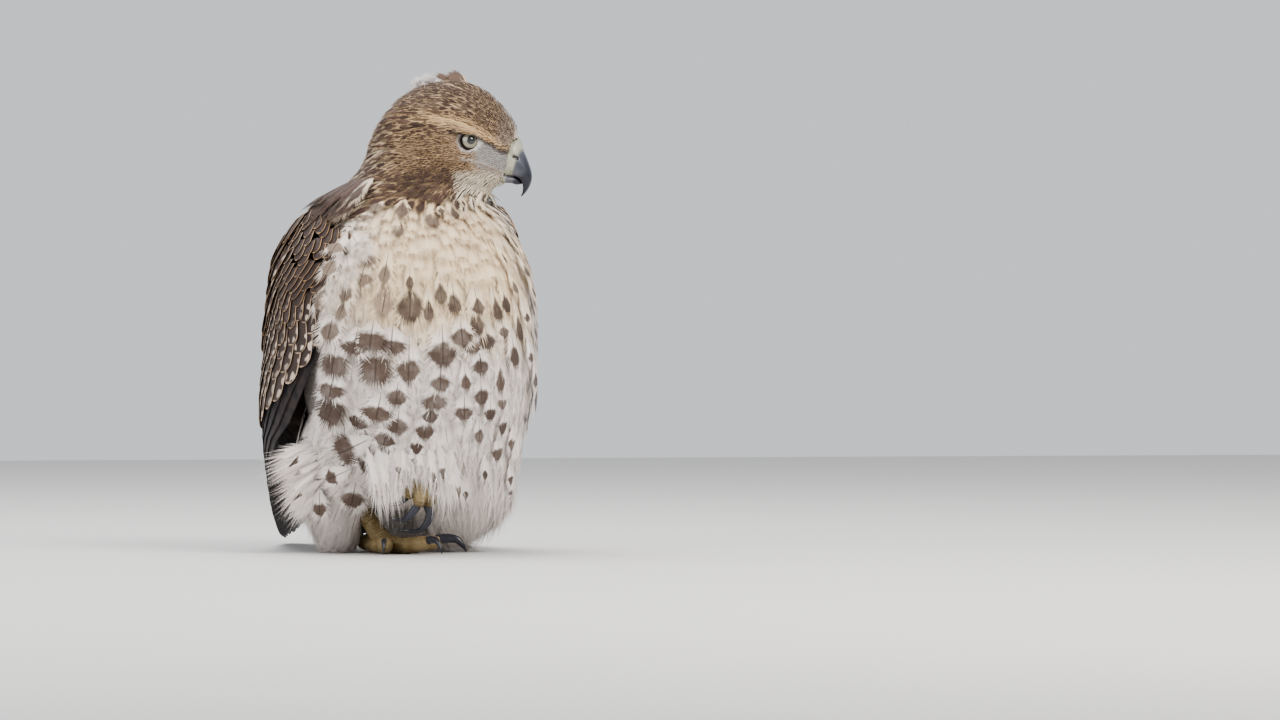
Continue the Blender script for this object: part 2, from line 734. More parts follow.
def vertex_normals(made):
    return read(made.data.vertex_normals, "vector", 3).astype(float)


def eye_distance(points):
    """How far, in the head's frame, points lie from the front of the nearer eye."""
    front = np.array(EYE_CENTRE) + unit(np.array(EYE_LOOK)) * EYE_RADIUS * 0.8
    return np.linalg.norm(to_left(to_head(points)) - front, axis=1)


def headness(points):
    """1 on the head, 0 on the body, as its brown hood ends."""
    h = to_head(points)
    edge = h[:, 2] + 44 - 0.12 * (h[:, 0] - 10)
    return ramp(edge, -6, 6)


def bareness(points):
    """1 where the skin shows: round the eyes, before them and at the gape."""
    h = to_head(points)
    under_brow = ramp(h[:, 2], 0.6 - 0.18 * (h[:, 0] - 20), -1.2 - 0.18 * (h[:, 0] - 20))
    near_eye = ramp(eye_distance(points), 10.2, 8.4) * under_brow
    front = ramp(h[:, 0], 49.5, 52) * ramp(h[:, 2], -33, -30)
    lips = ramp(path_distance(points, GAPE), 1.8, 0.9)
    return np.clip(near_eye + front + lips, 0, 1) * ramp(h[:, 2], -45, -38)


# In side view of the head: the brow's ridge and the lower edge of its shadow, ahead and height
BROW_LINE = along([-40, -12, 8, 23, 35, 46], [16, 13, 9, 5.5, -2, -10])
BROW_SHADE = along([-6, 5, 13, 23, 30, 38, 46], [8, 4, 1, -0.8, -3, -8, -13])


def loreness(h):
    """1 between the eye and the bill, where there are only short bristles."""
    a, c = h[:, 0], h[:, 2]
    under_brow = ramp(c, BROW_SHADE(a) + 1, BROW_SHADE(a) - 1.5)
    over_gape = ramp(c, -31 + 0.2 * (45 - a), -28 + 0.2 * (45 - a))
    return ramp(a, 25, 30) * under_brow * over_gape


def coat_depth(points):
    """How deep the skin lies under the coat's outside."""
    head = headness(points)
    legs = ramp(points[:, 2], 70, 45)
    body = 6.5 - 2.5 * legs
    on_head = 2.0 + 1.4 * ramp(to_head(points)[:, 0], 0, -40)
    brows = 1 - 0.6 * bump(path_distance(points, BROW_RIDGE), 0, 4)
    on_head = on_head * brows * (1 - 0.6 * loreness(to_head(points)))
    return mix(body, on_head, head) * (1 - 0.92 * bareness(points))


def body_angle(points):
    """Degrees round the body from straight ahead, towards the bird's left."""
    return np.degrees(np.arctan2(points[:, 0] - TORSO_X, -(points[:, 1] - TORSO_Y)))


def lie_of_coat(points, normals):
    """The way that feathers point: back from the bill, down the body and back along the tail."""
    h = to_head(points)
    from_bill = h - np.array([54, 0, -14])
    sweep = unit(from_bill) * np.array([1, 1.0, 0.75]) + np.array([-0.35, 0, -0.12])
    sweep = unit(sweep @ HEAD_ARRAY[:3, :3].T)
    chin = ramp(h[:, 2], -24, -36) * ramp(h[:, 0], 0, 20)
    sweep = sweep + chin[:, None] * np.array([-0.2, 0, -0.9])
    angle = body_angle(points)
    z = points[:, 2]
    back = ramp(np.abs(angle), 110, 150)
    low_back = back * ramp(z, 150, 60)
    fan = np.clip((points[:, 0] - TORSO_X) / 90, -1, 1)
    down = np.stack([fan * 0.25, 0.25 * back + 1.3 * low_back, -np.ones(len(z))], 1)
    flank = bump(angle, -62, 24) * ramp(z, 112, 80) * ramp(z, 40, 60)
    down += flank[:, None] * np.array([-1.1, 0.2, 0.35])
    vented = ramp(points[:, 1], 45, 60) * ramp(z, 80, 55)
    down = mix(down, np.array([0, 1.0, -0.15]), vented[:, None])
    way = mix(unit(down), sweep, headness(points)[:, None])
    way = way - normals * (way * normals).sum(1, keepdims=True)
    return unit(way)


# Markings

def blendings(base, *layers):
    for part, colour in layers:
        base = mix(base, colour, np.clip(part, 0, 1)[:, None])
    return base


def head_marks(h):
    """Ground, ink and mark of the head's feathers, by their place on it."""
    a, s, c = h[:, 0], np.abs(h[:, 1]), h[:, 2]
    over = c - BROW_LINE(a)
    crown = ramp(over, 3, 9)
    brow = bump(over, -0.4, 3.2) * ramp(s, 7, 14) * ramp(a, -8, 8) * ramp(a, 48, 42)
    stripe = bump(over, -7, 3.0) * ramp(a, -38, -20) * ramp(a, 12, 4)
    malar = 0.8 * bump(c, -35, 8) * bump(a, -1, 19) * ramp(s, 6, 16)
    chin = ramp(c, -25, -30) * ramp(a, 10, 19)
    lore = loreness(h)
    shade = bump(c, BROW_SHADE(a) - 1.2, 1.6) * ramp(a, 0, 8) * ramp(s, 6, 12)
    nape = ramp(a, -26, -44)
    front = ramp(a, 38, 46) * ramp(over, -2, 3)
    eye_ring = ramp(np.hypot(a - 21, c + 7), 15, 10) * ramp(over, 0, -4) * ramp(a, 30, 20)
    ground = blendings(BUFF, (0.6 * crown, CROWN_EDGE), (nape, NAPE_PALE), (brow, PALE_BUFF),
                       (eye_ring, linear(184, 154, 120)), (chin, THROAT), (lore, LORE_GREY),
                       (0.7 * front, FOREHEAD),
                       (shade * (1 - ramp(a, 20, 26) * ramp(a, 34, 28)), linear(62, 48, 42)))
    wide = 0.7 + 0.06 * crown - 0.5 * brow + 0.2 * stripe + 0.7 * malar
    wide = wide - 0.52 * chin - 0.54 * lore - 0.25 * eye_ring
    wide = wide * (1 - 0.12 * fineness(h) * (1 - malar) * (1 - crown))
    tall = 0.5 + 0.04 * crown + 0.04 * front - 0.26 * brow + 0.4 * malar
    mark = np.stack([np.clip(wide, 0.02, 1.4), np.clip(tall, 0.05, 0.9), np.full(len(h), -0.05)], 1)
    ink = blendings(HEAD_BROWN, (malar, linear(78, 60, 54)), (0.4 * brow, BUFF),
                    (0.5 * front, linear(120, 98, 84)))
    return ground, ink, mark


def body_marks(points, draw):
    """Ground, ink and mark of the body's feathers, by their place on it."""
    z = points[:, 2]
    angle = body_angle(points)
    back = ramp(np.abs(angle), 98, 112) * ramp(z, 55, 80)
    shoulder = ramp(-angle, 60, 80) * ramp(z, 232, 246)
    back = np.clip(back + shoulder, 0, 1)
    side = np.abs(angle - 8)
    cream = ramp(z, 150, 205) * ramp(side, 75, 30)
    ground = blendings(WHITE, (cream, CREAM), (ramp(z, 70, 35), LEG_WHITE),
                       (back, linear(160, 130, 104)))
    collar = ramp(z, 216, 232)
    bands = ramp(z, 92, 108) * ramp(z, 172, 150)
    broad = bands * ramp(-angle, -4, 14)
    arrows = ramp(z, 112, 94)
    wide = mix(mix(0.6, 0.72, bands), 1.15, broad)
    tall = mix(mix(0.25, 0.22, bands), 0.21, broad)
    sweep = mix(mix(-0.02, -0.06, bands), -0.12, broad)
    wide, tall, sweep = mix(wide, 0.55, arrows), mix(tall, 0.16, arrows), mix(sweep, -0.22, arrows)
    wide, tall = mix(wide, 0.5, collar), mix(tall, 0.36, collar)
    chance = mix(0.8, 0.62, collar * ramp(angle, 24, 4))
    chance = mix(chance, 0.5, arrows)
    chance = mix(chance, 0.2, ramp(z, 70, 45))
    chance = mix(chance, 0.1, ramp(z, 40, 20))
    chance = np.where(points[:, 1] > 42, chance * ramp(z, 60, 80), chance)
    chance = np.where((angle > -80) & (angle < 84), 0, chance)
    shown = (draw < chance) | (back > 0.5)
    wide, tall, sweep = mix(wide, 0.9, back), mix(tall, 0.5, back), mix(sweep, -0.1, back)
    mark = np.stack([wide, tall, sweep], 1) * shown[:, None]
    ink = blendings(MARK_BROWN, (0.5 * arrows, linear(92, 74, 64)), (back, BACK_BROWN))
    return ground, ink, mark


def coat_marks(points, draw):
    ground, ink, mark = body_marks(points, draw)
    head = headness(points)
    on_head = head_marks(to_head(points))
    part = (head > draw * 0.6 + 0.2)[:, None]
    return tuple(np.where(part, above, below) for above, below in zip(on_head, (ground, ink, mark)))


# Feathers of the coat

OUTLINE = along([0, 0.15, 0.4, 0.7, 0.88, 0.96, 1], [0.2, 0.6, 0.92, 1, 0.82, 0.5, 0.2])


class Loose:
    """Gathers one loose feather, 1 long and 2 wide, with its own map."""

    def __init__(self, bow):
        self.points, self.faces, self.maps, self.bow = [], [], [], bow

    def place(self, x, y, lift):
        self.points.append((x, y, self.bow * 4 * x * (1 - x) - 0.05 * y * y + lift))
        full = max(float(OUTLINE(min(max(x, 0.02), 0.98))), 0.35)
        self.maps.append((0.5 + 0.5 * y / full, x))
        return len(self.points) - 1

    def vane(self, rows, cols, sheet):
        """The closed middle of the feather."""
        across = np.linspace(-1, 1, cols)
        grid = [[self.place(x, s * sheet * float(OUTLINE(x)),
                            0.01 - 0.015 * abs(s)) for s in across] for x in rows]
        for low, high in zip(grid, grid[1:]):
            for j in range(cols - 1):
                self.faces.append((low[j], high[j], high[j + 1], low[j + 1]))

    def hair(self, root, tip, width, parts, curl):
        """A barb that narrows to a point from its root, x, y and lift, to its tip."""
        root, tip = np.array(root), np.array(tip)
        way = tip - root
        side = np.array([-way[1], way[0], 0]) / max(np.hypot(way[0], way[1]), 1e-6) * width / 2
        pairs = []
        for i in range(parts):
            t = i / parts
            at = root + way * t + np.array([curl * t * (1 - t), 0, 0])
            pairs.append((self.place(*(at - side * (1 - t))), self.place(*(at + side * (1 - t)))))
        point = self.place(*tip)
        for low, high in zip(pairs, pairs[1:]):
            self.faces.append((low[0], high[0], high[1], low[1]))
        self.faces.append((pairs[-1][0], point, pairs[-1][1]))


def loose_feather(name, rows, cols, sheet, hairs, tips, width, parts=1, sweep=0.22, reach=1.0, bow=0.03,
                  wild=0.12,
                  fray=0.05, seed=0):
    """One body feather: a whole vane edged all round by fine barbs."""
    draw = np.random.default_rng(seed)
    shape = Loose(bow)
    shape.vane(rows, cols, sheet)
    first = rows[1] * 0.8
    last = rows[-1]
    for side in (-1, 1):
        for i in range(hairs):
            t = first + (last - first) * (i + draw.random()) / hairs
            lean = sweep * (0.7 + 0.9 * t * t) * (1 + wild * draw.normal())
            far = side * float(OUTLINE(min(t + 0.5 * lean, 0.97))) * reach * (1 + wild * draw.normal())
            lift = 0.012 * draw.normal()
            root = (t, side * sheet * 0.45 * float(OUTLINE(t)), 0.014)
            shape.hair(root, (t + lean, far, lift), width, parts, -0.3 * lean)
    for i in range(tips):
        turned = -1 + 2 * (i + draw.random()) / tips
        y = turned * float(OUTLINE(last))
        tip = (1.02 + fray * draw.normal() - 0.1 * turned * turned, y * (0.85 + 0.12 * draw.normal()),
               0.012 * draw.normal())
        shape.hair((last - 0.12, y * sheet * 0.8, 0.012), tip, width * 1.3, parts, 0)
    made = new_mesh(name, np.array(shape.points) / MM, shape.faces, SOFT_FEATHER)
    corners = [shape.maps[v] for p in made.data.polygons for v in p.vertices]
    write_map(made.data, "Vane", np.clip(np.array(corners), 0, 1))
    return made


def feather_kind(name, variants, **shape):
    """A collection of a few different feathers of a kind."""
    kind = bpy.data.collections.new(name)
    bpy.context.scene.collection.children.link(kind)
    for i in range(variants):
        made = loose_feather(f"{name}_{i}", seed=10 * i + len(name), **shape)
        bpy.context.scene.collection.objects.unlink(made)
        kind.objects.link(made)
    return kind


KINDS = {
    "contour": feather_kind("contour", 5, rows=[0, 0.12, 0.3, 0.5, 0.66, 0.78, 0.86], cols=5, sheet=0.58,
                            hairs=32, tips=28,
                            width=0.042, sweep=0.28, fray=0.08),
    "plume": feather_kind("plume", 5, rows=[0, 0.15, 0.35, 0.55, 0.72, 0.84], cols=3, sheet=0.36, hairs=30,
                          tips=10,
                          width=0.03, parts=2, sweep=0.42, reach=1.05, wild=0.16),
    "cap": feather_kind("cap", 4, rows=[0, 0.3, 0.62, 0.82, 0.9], cols=3, sheet=0.66, hairs=11, tips=9,
                        width=0.07,
                        bow=0.05, wild=0.16),
    "down": feather_kind("down", 4, rows=[0, 0.3, 0.7], cols=3, sheet=0.12, hairs=26, tips=6, width=0.04,
                         parts=2,
                         sweep=0.35, reach=1.2, bow=0.0, wild=0.35),
}


def coat_tree():
    """Sets a feather on each root, turned and scaled by the root's own attributes."""
    tree = bpy.data.node_groups.new("coat of feathers", "GeometryNodeTree")
    for name, kind in (("Roots", "NodeSocketGeometry"), ("Kind", "NodeSocketCollection"),
                       ("Fullness", FLOAT), ("Finish", "NodeSocketMaterial")):
        tree.interface.new_socket(name, in_out="INPUT", socket_type=kind)
    tree.interface.new_socket("Coat", in_out="OUTPUT", socket_type="NodeSocketGeometry")
    start = tree.nodes.new("NodeGroupInput")
    end = tree.nodes.new("NodeGroupOutput")
    feathers = add(tree, "GeometryNodeCollectionInfo", inputs={"Collection": start.outputs["Kind"],
                                                               "Separate Children": True,
                                                               "Reset Children": True})
    pick = add(tree, "GeometryNodeInputNamedAttribute", data_type="INT", inputs={"Name": "variant"})
    lie = add(tree, "GeometryNodeInputNamedAttribute", data_type="FLOAT_VECTOR", inputs={"Name": "lie"})
    size = add(tree, "GeometryNodeInputNamedAttribute", data_type="FLOAT_VECTOR", inputs={"Name": "size"})
    turned = add(tree, "FunctionNodeEulerToRotation", inputs={0: lie.outputs[0]})
    fuller = add(tree, "ShaderNodeCombineXYZ", inputs={0: 1.0, 1: start.outputs["Fullness"], 2: 1.0})
    scaled = add(tree, "ShaderNodeVectorMath", operation="MULTIPLY",
                 inputs={0: size.outputs[0], 1: fuller.outputs[0]})
    on_points = add(tree, "GeometryNodeInstanceOnPoints",
                    inputs={"Points": start.outputs["Roots"], "Instance": feathers.outputs[0],
                            "Pick Instance": True,
                            "Instance Index": pick.outputs[0], "Rotation": turned.outputs[0],
                            "Scale": scaled.outputs[0]})
    real = add(tree, "GeometryNodeRealizeInstances", inputs={0: on_points.outputs[0]})
    dressed = add(tree, "GeometryNodeSetMaterial",
                  inputs={0: real.outputs[0], "Material": start.outputs["Finish"]})
    tree.links.new(dressed.outputs[0], end.inputs[0])
    return tree


COAT_TREE = coat_tree()
SOCKETS = {item.name: item.identifier for item in COAT_TREE.interface.items_tree if item.in_out == "INPUT"}

# Corners of each part's chart in the map that colours are baked to
CHARTS = {"body": (0.02, 0.02, 0.60, 0.96), "leg_right": (0.64, 0.02, 0.16, 0.28),
          "leg_left": (0.82, 0.02, 0.16, 0.28),
          "undertail": (0.64, 0.34, 0.34, 0.16), "wing_right": (0.64, 0.54, 0.16, 0.44),
          "wing_left": (0.82, 0.54, 0.16, 0.44), "tail": (0.02, 0.02, 0.96, 0.96)}
PATCH = 0.003
LOWEST = 0.3  # no feather comes nearer to the floor


def baked_place(points, chart):
    """A root's place on the unrolled skin of its part."""
    left, low, wide, high = CHARTS[chart]
    middle = points[:, :2].mean(0) if chart != "body" else np.array([TORSO_X, TORSO_Y])
    around = np.arctan2(points[:, 0] - middle[0], -(points[:, 1] - middle[1])) / (2 * math.pi) + 0.5
    lowest, highest = points[:, 2].min(), points[:, 2].max()
    up = (points[:, 2] - lowest) / max(highest - lowest, 1)
    if chart in ("undertail", "tail"):
        around = (points[:, 0] - points[:, 0].min()) / max(np.ptp(points[:, 0]), 1)
        up = (points[:, 1] - points[:, 1].min()) / max(np.ptp(points[:, 1]), 1)
    return np.stack([left + wide * around, low + high * up], 1)


def euler_of(way, out):
    """The turn that lays x along the way, y across it and z outwards."""
    across = np.cross(out, way)
    sets = np.stack([way, across, out], 2)
    return np.array([Matrix(m).to_euler() for m in sets])


def coat(name, kind, roots, ways, outs, length, wide, marks, shaft, chart="body", slot="breast_feathers"):
    """A piece of the coat: feathers of one kind on their roots, with looks for all or for each."""
    count = len(roots)
    length, wide, shaft = (np.broadcast_to(value, count) for value in (length, wide, shaft))
    base = new_mesh(name, roots, [], SOFT_FEATHER)
    note(base, "lie", euler_of(ways, outs))
    note(base, "size", np.stack([length, wide, (length + wide) / 2], 1) * MM)
    note(base, "variant", rng.integers(0, len(KINDS[kind].objects), count))
    ground, ink, mark = (np.asarray(look, float) for look in marks)
    shade = 1 + 0.025 * rng.normal(size=(count, 1))
    paint(base, "ground", np.clip(ground * shade, 0, 1))
    paint(base, "ink", np.clip(ink * (1 + 0.15 * rng.normal(size=(count, 1))), 0, 1))
    note(base, "mark", mark * (1 + 0.12 * rng.normal(size=(count, 3))))
    note(base, "seed", rng.uniform(0, 50, count))
    note(base, "shaft", shaft)
    places = baked_place(roots, chart)
    note(base, "bake", np.hstack([places, np.zeros((count, 1))]))
    grow = base.modifiers.new("coat", "NODES")
    grow.node_group = COAT_TREE
    grow[SOCKETS["Kind"]] = KINDS[kind]
    grow[SOCKETS["Fullness"]] = 1.0
    grow[SOCKETS["Finish"]] = SOFT_FEATHER
    with_modifiers(base)
    finish_map(base)
    above_floor(base)
    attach(base, "root")


def finish_map(made):
    """Writes the bake map: each feather a small patch at its root's place."""
    mesh = made.data
    corners = read(mesh.loops, "vertex_index", kind=np.int32)
    bake = read(mesh.attributes["bake"].data, "vector", 3)
    vane = read(mesh.uv_layers["Vane"].data, "uv", 2)
    write_map(mesh, "OFBake", bake[corners, :2] + (vane - 0.5) * PATCH)
    mesh.attributes.remove(mesh.attributes["bake"])


def above_floor(made):
    points = coords(made)
    points[:, 2] = np.maximum(points[:, 2], LOWEST)
    settle(made, points)


def scattered(made, spacing, keep, seed):
    """Roots spread over a mesh, each as far from the next as its place asks."""
    draw = np.random.default_rng(seed)
    mesh = made.data
    mesh.calc_loop_triangles()
    corners = read(mesh.loop_triangles, "vertices", 3, np.int32)
    points = coords(made)
    normals = vertex_normals(made)
    a, b, c = (points[corners[:, i]] for i in range(3))
    area = np.linalg.norm(np.cross(b - a, c - a), axis=1) / 2
    middles = (a + b + c) / 3
    times = draw.poisson(area * 7 / spacing(middles)**2 * keep(middles))
    picked = np.repeat(np.arange(len(area)), times)
    r1 = np.sqrt(draw.uniform(size=len(picked)))
    r2 = draw.uniform(size=len(picked))
    weights = np.stack([1 - r1, r1 * (1 - r2), r1 * r2], 1)[:, :, None]
    places = (points[corners[picked]] * weights).sum(1)
    outs = unit((normals[corners[picked]] * weights).sum(1))
    reach = spacing(places)
    tree = KDTree(len(places))
    for i, p in enumerate(places):
        tree.insert(p, i)
    tree.balance()
    alive = np.ones(len(places), bool)
    chosen = []
    for i in draw.permutation(len(places)):
        if alive[i]:
            chosen.append(i)
            for _, j, _ in tree.find_range(places[i], reach[i]):
                alive[j] = False
    return places[chosen], outs[chosen]


def laid(nearest, roots, outs, ways, length, depth, lift, yaw=0.12):
    """Roots and turns of feathers from under the coat's outside to just over it."""
    wander = rng.normal(size=(len(roots), 1)) * yaw
    ways = unit(ways + np.cross(outs, ways) * wander)
    far, far_out = nearest(roots + ways * length[:, None])
    start = roots - outs * depth[:, None]
    finish = far + far_out * (lift * (0.6 + 0.8 * rng.random(len(roots))))[:, None]
    chord = finish - start
    out = unit(outs + far_out)
    way = unit(chord)
    out = unit(out - way * (out * way).sum(1, keepdims=True))
    return start, way, out


form = whole_form()
OUTSIDE, SEEN = surface_of(form)


def under_wings(points):
    """Where a wing lies on the body, so that no coat is needed."""
    angle = body_angle(points)
    z = points[:, 2]
    right = (angle < -58) & (angle > -140) & (z > 105) & (z < 232)
    left = (angle > 98) & (angle < 145) & (z > 105) & (z < 232)
    middle = (np.abs(angle) > 125) & (z > 140) & (z < 236)
    return right | left | middle


def fineness(h):
    """1 on the face, where the head's feathers are smallest, 0 on crown and nape."""
    cheek = ramp(h[:, 2], 3, -6) * ramp(h[:, 0], -34, -14) * ramp(h[:, 2], -46, -30)
    return np.clip(np.maximum(ramp(h[:, 0], 10, 42), 0.8 * cheek), 0, 1)


def neckness(points):
    return ramp(points[:, 2], 222, 262) * (1 - headness(points))


def body_spacing(points):
    z = points[:, 2]
    gap = 6.0 + 1.1 * bump(z, 150, 50) - 0.7 * ramp(z, 90, 50)
    gap = mix(gap, 4.5, neckness(points))
    h = to_head(points)
    on_head = mix(mix(3.0 + 0.8 * ramp(h[:, 0], 0, -40), 1.6, fineness(h)), 1.15, loreness(h))
    return mix(gap, on_head, headness(points))


def body_keep(points):
    kept = np.where(under_wings(points), 0.0, 1.0)
    kept = np.where(bareness(points) > 0.5, 0.0, kept)
    return np.where(points[:, 2] < 9, 0.0, kept)


def coat_sizes(points):
    """Length, half width and lift of the coat's feathers, by their roots."""
    z = points[:, 2]
    h = to_head(points)
    head, fine, lore = headness(points), fineness(h), loreness(h)
    length = 29 + 4 * ramp(z, 215, 160) + 3 * ramp(z, 110, 70) - 9 * ramp(z, 55, 20)
    wide = 9.0 - 1.0 * ramp(z, 90, 50) - 1.5 * ramp(z, 50, 15)
    length = mix(length, 18, neckness(points))
    wide = mix(wide, 4.2, neckness(points))
    on_head = mix(11.5 + 6 * ramp(h[:, 0], 0, -40), 5.2, fine) + 3.5 * ramp(h[:, 2], -30, -44)
    on_head = mix(on_head, 3.2, lore)
    length = mix(length, on_head, head) * (1 + 0.1 * rng.normal(size=len(z)))
    on_head = mix(mix(1.9 + 0.7 * ramp(h[:, 0], 0, -40), 0.85, fine), 0.32, lore)
    wide = mix(wide, on_head, head)
    side = bump(body_angle(points), -50, 8) * ramp(z, 100, 125)
    lift = mix(0.3 + 1.5 * ramp(z, 90, 50) + 3.5 * side, 0.4, head)
    return length, wide, lift


def dress_body():
    roots, outs = scattered(form, body_spacing, body_keep, 7)
    ways = lie_of_coat(roots, outs)
    marks = coat_marks(roots, rng.random(len(roots)))
    head = headness(roots)
    z = roots[:, 2]
    length, wide, lift = coat_sizes(roots)
    start, way, out = laid(OUTSIDE, roots, outs, ways, length, coat_depth(roots), lift)
    front = np.abs(body_angle(roots)) < 90
    body = head <= 0.5
    low = (z <= 96) & front & body
    parts = {
        "coat_crown": (~body & (fineness(to_head(roots)) <= 0.4), "cap", "body"),
        "coat_face": (~body & (fineness(to_head(roots)) > 0.4), "cap", "body"),
        "coat_neck": (body & (z > 222), "contour", "body"),
        "coat_breast": (body & (z <= 222) & (z > 160) & front, "contour", "body"),
        "coat_belly": (body & (z <= 160) & (z > 96) & front, "contour", "body"),
        "coat_back": (body & (z <= 222) & ~front & (z > 60), "contour", "body"),
        "coat_leg_right": (low & (roots[:, 0] < 10), "plume", "leg_right"),
        "coat_leg_left": (low & (roots[:, 0] >= 10), "plume", "leg_left"),
        "coat_undertail": (body & (z <= 60) & ~front, "plume", "undertail"),
    }
    shaft = np.where(z > 222, 0.2,
                     0.6) * (1 - head) * (np.abs(body_angle(roots) - 8) > 30 * ramp(z, 170, 190))
    for name, (chosen, kind, chart) in parts.items():
        coat(name, kind, start[chosen], way[chosen], out[chosen], length[chosen], wide[chosen],
             [look[chosen] for look in marks], shaft[chosen], chart,
             "head_feathers" if kind == "cap" else "breast_feathers")


def upright(ways, outs):
    """Directions and the outward sides squared to them."""
    ways = unit(np.asarray(ways, float))
    outs = np.asarray(outs, float) - ways * (ways * outs).sum(1, keepdims=True)
    return ways, unit(outs)


def crown_tufts():
    """A tuft of white down and four ruffled feathers that stand up from the crown."""
    count = 56
    spots = from_head(np.stack([rng.normal(-18.5, 3.0, count), rng.normal(-1, 2.4, count),
                                np.full(count, 36)], 1))
    roots, outs = OUTSIDE(spots)
    spread = rng.normal(size=(count, 3)) * [0.6, 0.6, 0.25]
    ways, sides = upright(outs * 0.8 + spread + from_head([[-0.5, 0, 0]]) - np.array(HEAD_CENTRE),
                          outs + spread[:, ::-1])
    coat("tuft_down", "down", roots - outs, ways, sides, rng.uniform(5.5, 9.5, count),
         rng.uniform(2.6, 4, count),
         (DOWN_WHITE, MARK_BROWN, (0, 0, 0)), 0.0, slot="head_feathers")
    spots = from_head(np.array([[13, 0.5, 34], [11, -2.5, 34], [8, 2.5, 35], [3, -3, 36]], float))
    roots, outs = OUTSIDE(spots)
    back = from_head([[-1, 0, 0]]) - np.array(HEAD_CENTRE)
    ways, sides = upright(back + outs * np.array([[0.62], [0.5], [0.4], [0.45]]), 0.7 * outs - VIEW_INTO)
    coat("tuft_crown", "contour", roots - outs, ways, sides, np.array([15.5, 14, 12, 13]),
         np.array([4.6, 4.2, 3.6, 3.6]),
         (CROWN_EDGE, linear(96, 78, 68), (0.95, 0.55, -0.05)), 0.5, slot="head_feathers")


# Roots and tips of the flank's long plumes
FLANK_FAN = [([-56, -16, 80], [-90, -21, 66]), ([-58, -15, 70], [-88, -19, 52]),
             ([-57, -13, 58], [-79, -15, 37]),
             ([-53, -9, 46], [-68, -10, 22])]


def flank_plumes():
    """Long white barbs that fan out from the flank over the folded wing."""
    count = 34
    part = np.linspace(0, len(FLANK_FAN) - 1, count)
    ends = np.array(FLANK_FAN, float)
    roots = np.stack([np.interp(part, range(4), ends[:, 0, i]) for i in range(3)], 1)
    tips = np.stack([np.interp(part, range(4), ends[:, 1, i]) for i in range(3)], 1)
    roots += rng.normal(size=roots.shape) * [2.5, 3, 2.5]
    roots[:, 0] += 6
    tips = mix(roots, tips, 0.78) + rng.normal(size=tips.shape) * [2, 2, 3]
    ways, sides = upright(tips - roots, [-0.3, -1.0, 0.2] + 0.25 * rng.normal(size=(count, 3)))
    length = np.linalg.norm(tips - roots, axis=1) * 1.04
    mark = np.array([0.42, 0.12, -0.3]) * (rng.random((count, 1)) < 0.16)
    coat("coat_flank", "plume", roots, ways, sides, length, 4.8, (WHITE, MARK_BROWN, mark), 0.15, "leg_right")


def side_feathers():
    """Side feathers of the breast, whose loose tips lie over the right wing's front edge."""
    count = 90
    z = rng.uniform(112, 240, count)
    turned = -np.radians(rng.uniform(42, 54, count))
    spots = np.stack([TORSO_X + 82 * np.sin(turned), TORSO_Y - 76 * np.cos(turned), z], 1)
    roots, outs = OUTSIDE(spots)
    low = z - rng.uniform(15, 24, count)
    place = wing_ahead(-1, low) + rng.uniform(-12, -4, count)
    guide = gown_out(-1, low, place)
    off = mix(1.0, 4.0, ramp(low, 150, 230)) + rng.uniform(0, 1.5, count)
    tips = gown(-1, low, place) + guide * off[:, None]
    ways, sides = upright(tips - roots, outs + guide)
    length = np.clip(np.linalg.norm(tips - roots, axis=1), 18, 36)
    coat("coat_side", "contour", roots - outs * 2, ways, sides, length, 8.0,
         body_marks(roots, np.ones(count)), 0.6)


def flank_cover(name, drop, apart, extra, marked):
    """The bird's left flank, whose feathers lie over the folded wing's front."""
    rows = []
    for i, z in enumerate(np.arange(118 if marked else 96, 250, drop)):
        for angle in np.arange(58 + apart / 2 * (i % 2), 110, apart):
            rows.append((z + 0.2 * drop * rng.normal(), angle + 0.2 * apart * rng.normal()))
    z, angle = np.array(rows).T

    def over(height, turned):
        body = np.radians(turned + 4)
        spots = np.stack([TORSO_X + 84 * np.sin(body), TORSO_Y - 76 * np.cos(body), height], 1)
        on_body, out_body = OUTSIDE(spots)
        on_wing, out_wing = gown(1, height, turned), gown_out(1, height, turned)
        share = ramp(turned, 62, 86)[:, None]
        return mix(on_body, on_wing, share), unit(mix(out_body, out_wing, share))

    roots, outs = over(z, angle)
    length = mix(30, 36, ramp(z, 230, 140)) + rng.normal(size=len(z)) * 2
    tips, tip_outs = over(np.maximum(z - length, 60),
                          angle + 3 * ramp(z, 120, 200) + 1.5 * rng.normal(size=len(z)))
    high = 1.2 + 2.3 * ramp(angle, 62, 86) * ramp(z, 250, 225) + extra
    starts = roots - outs * (1.5 if marked else 4)
    ways, sides = upright(tips + tip_outs * high[:, None] - starts, outs + tip_outs)
    ground = blendings(WHITE, (0.8 * ramp(z, 190, 230) * ramp(angle, 100, 70), CREAM))
    size = rng.uniform(0.9, 1.4, (len(z), 1)) * float(marked)
    mark = np.hstack([0.5 * size, 0.25 * size, np.full((len(z), 1), -0.08)])
    coat(name, "contour", starts, ways, sides, length, 8.5, (ground, MARK_BROWN, mark), 0.6 * marked)


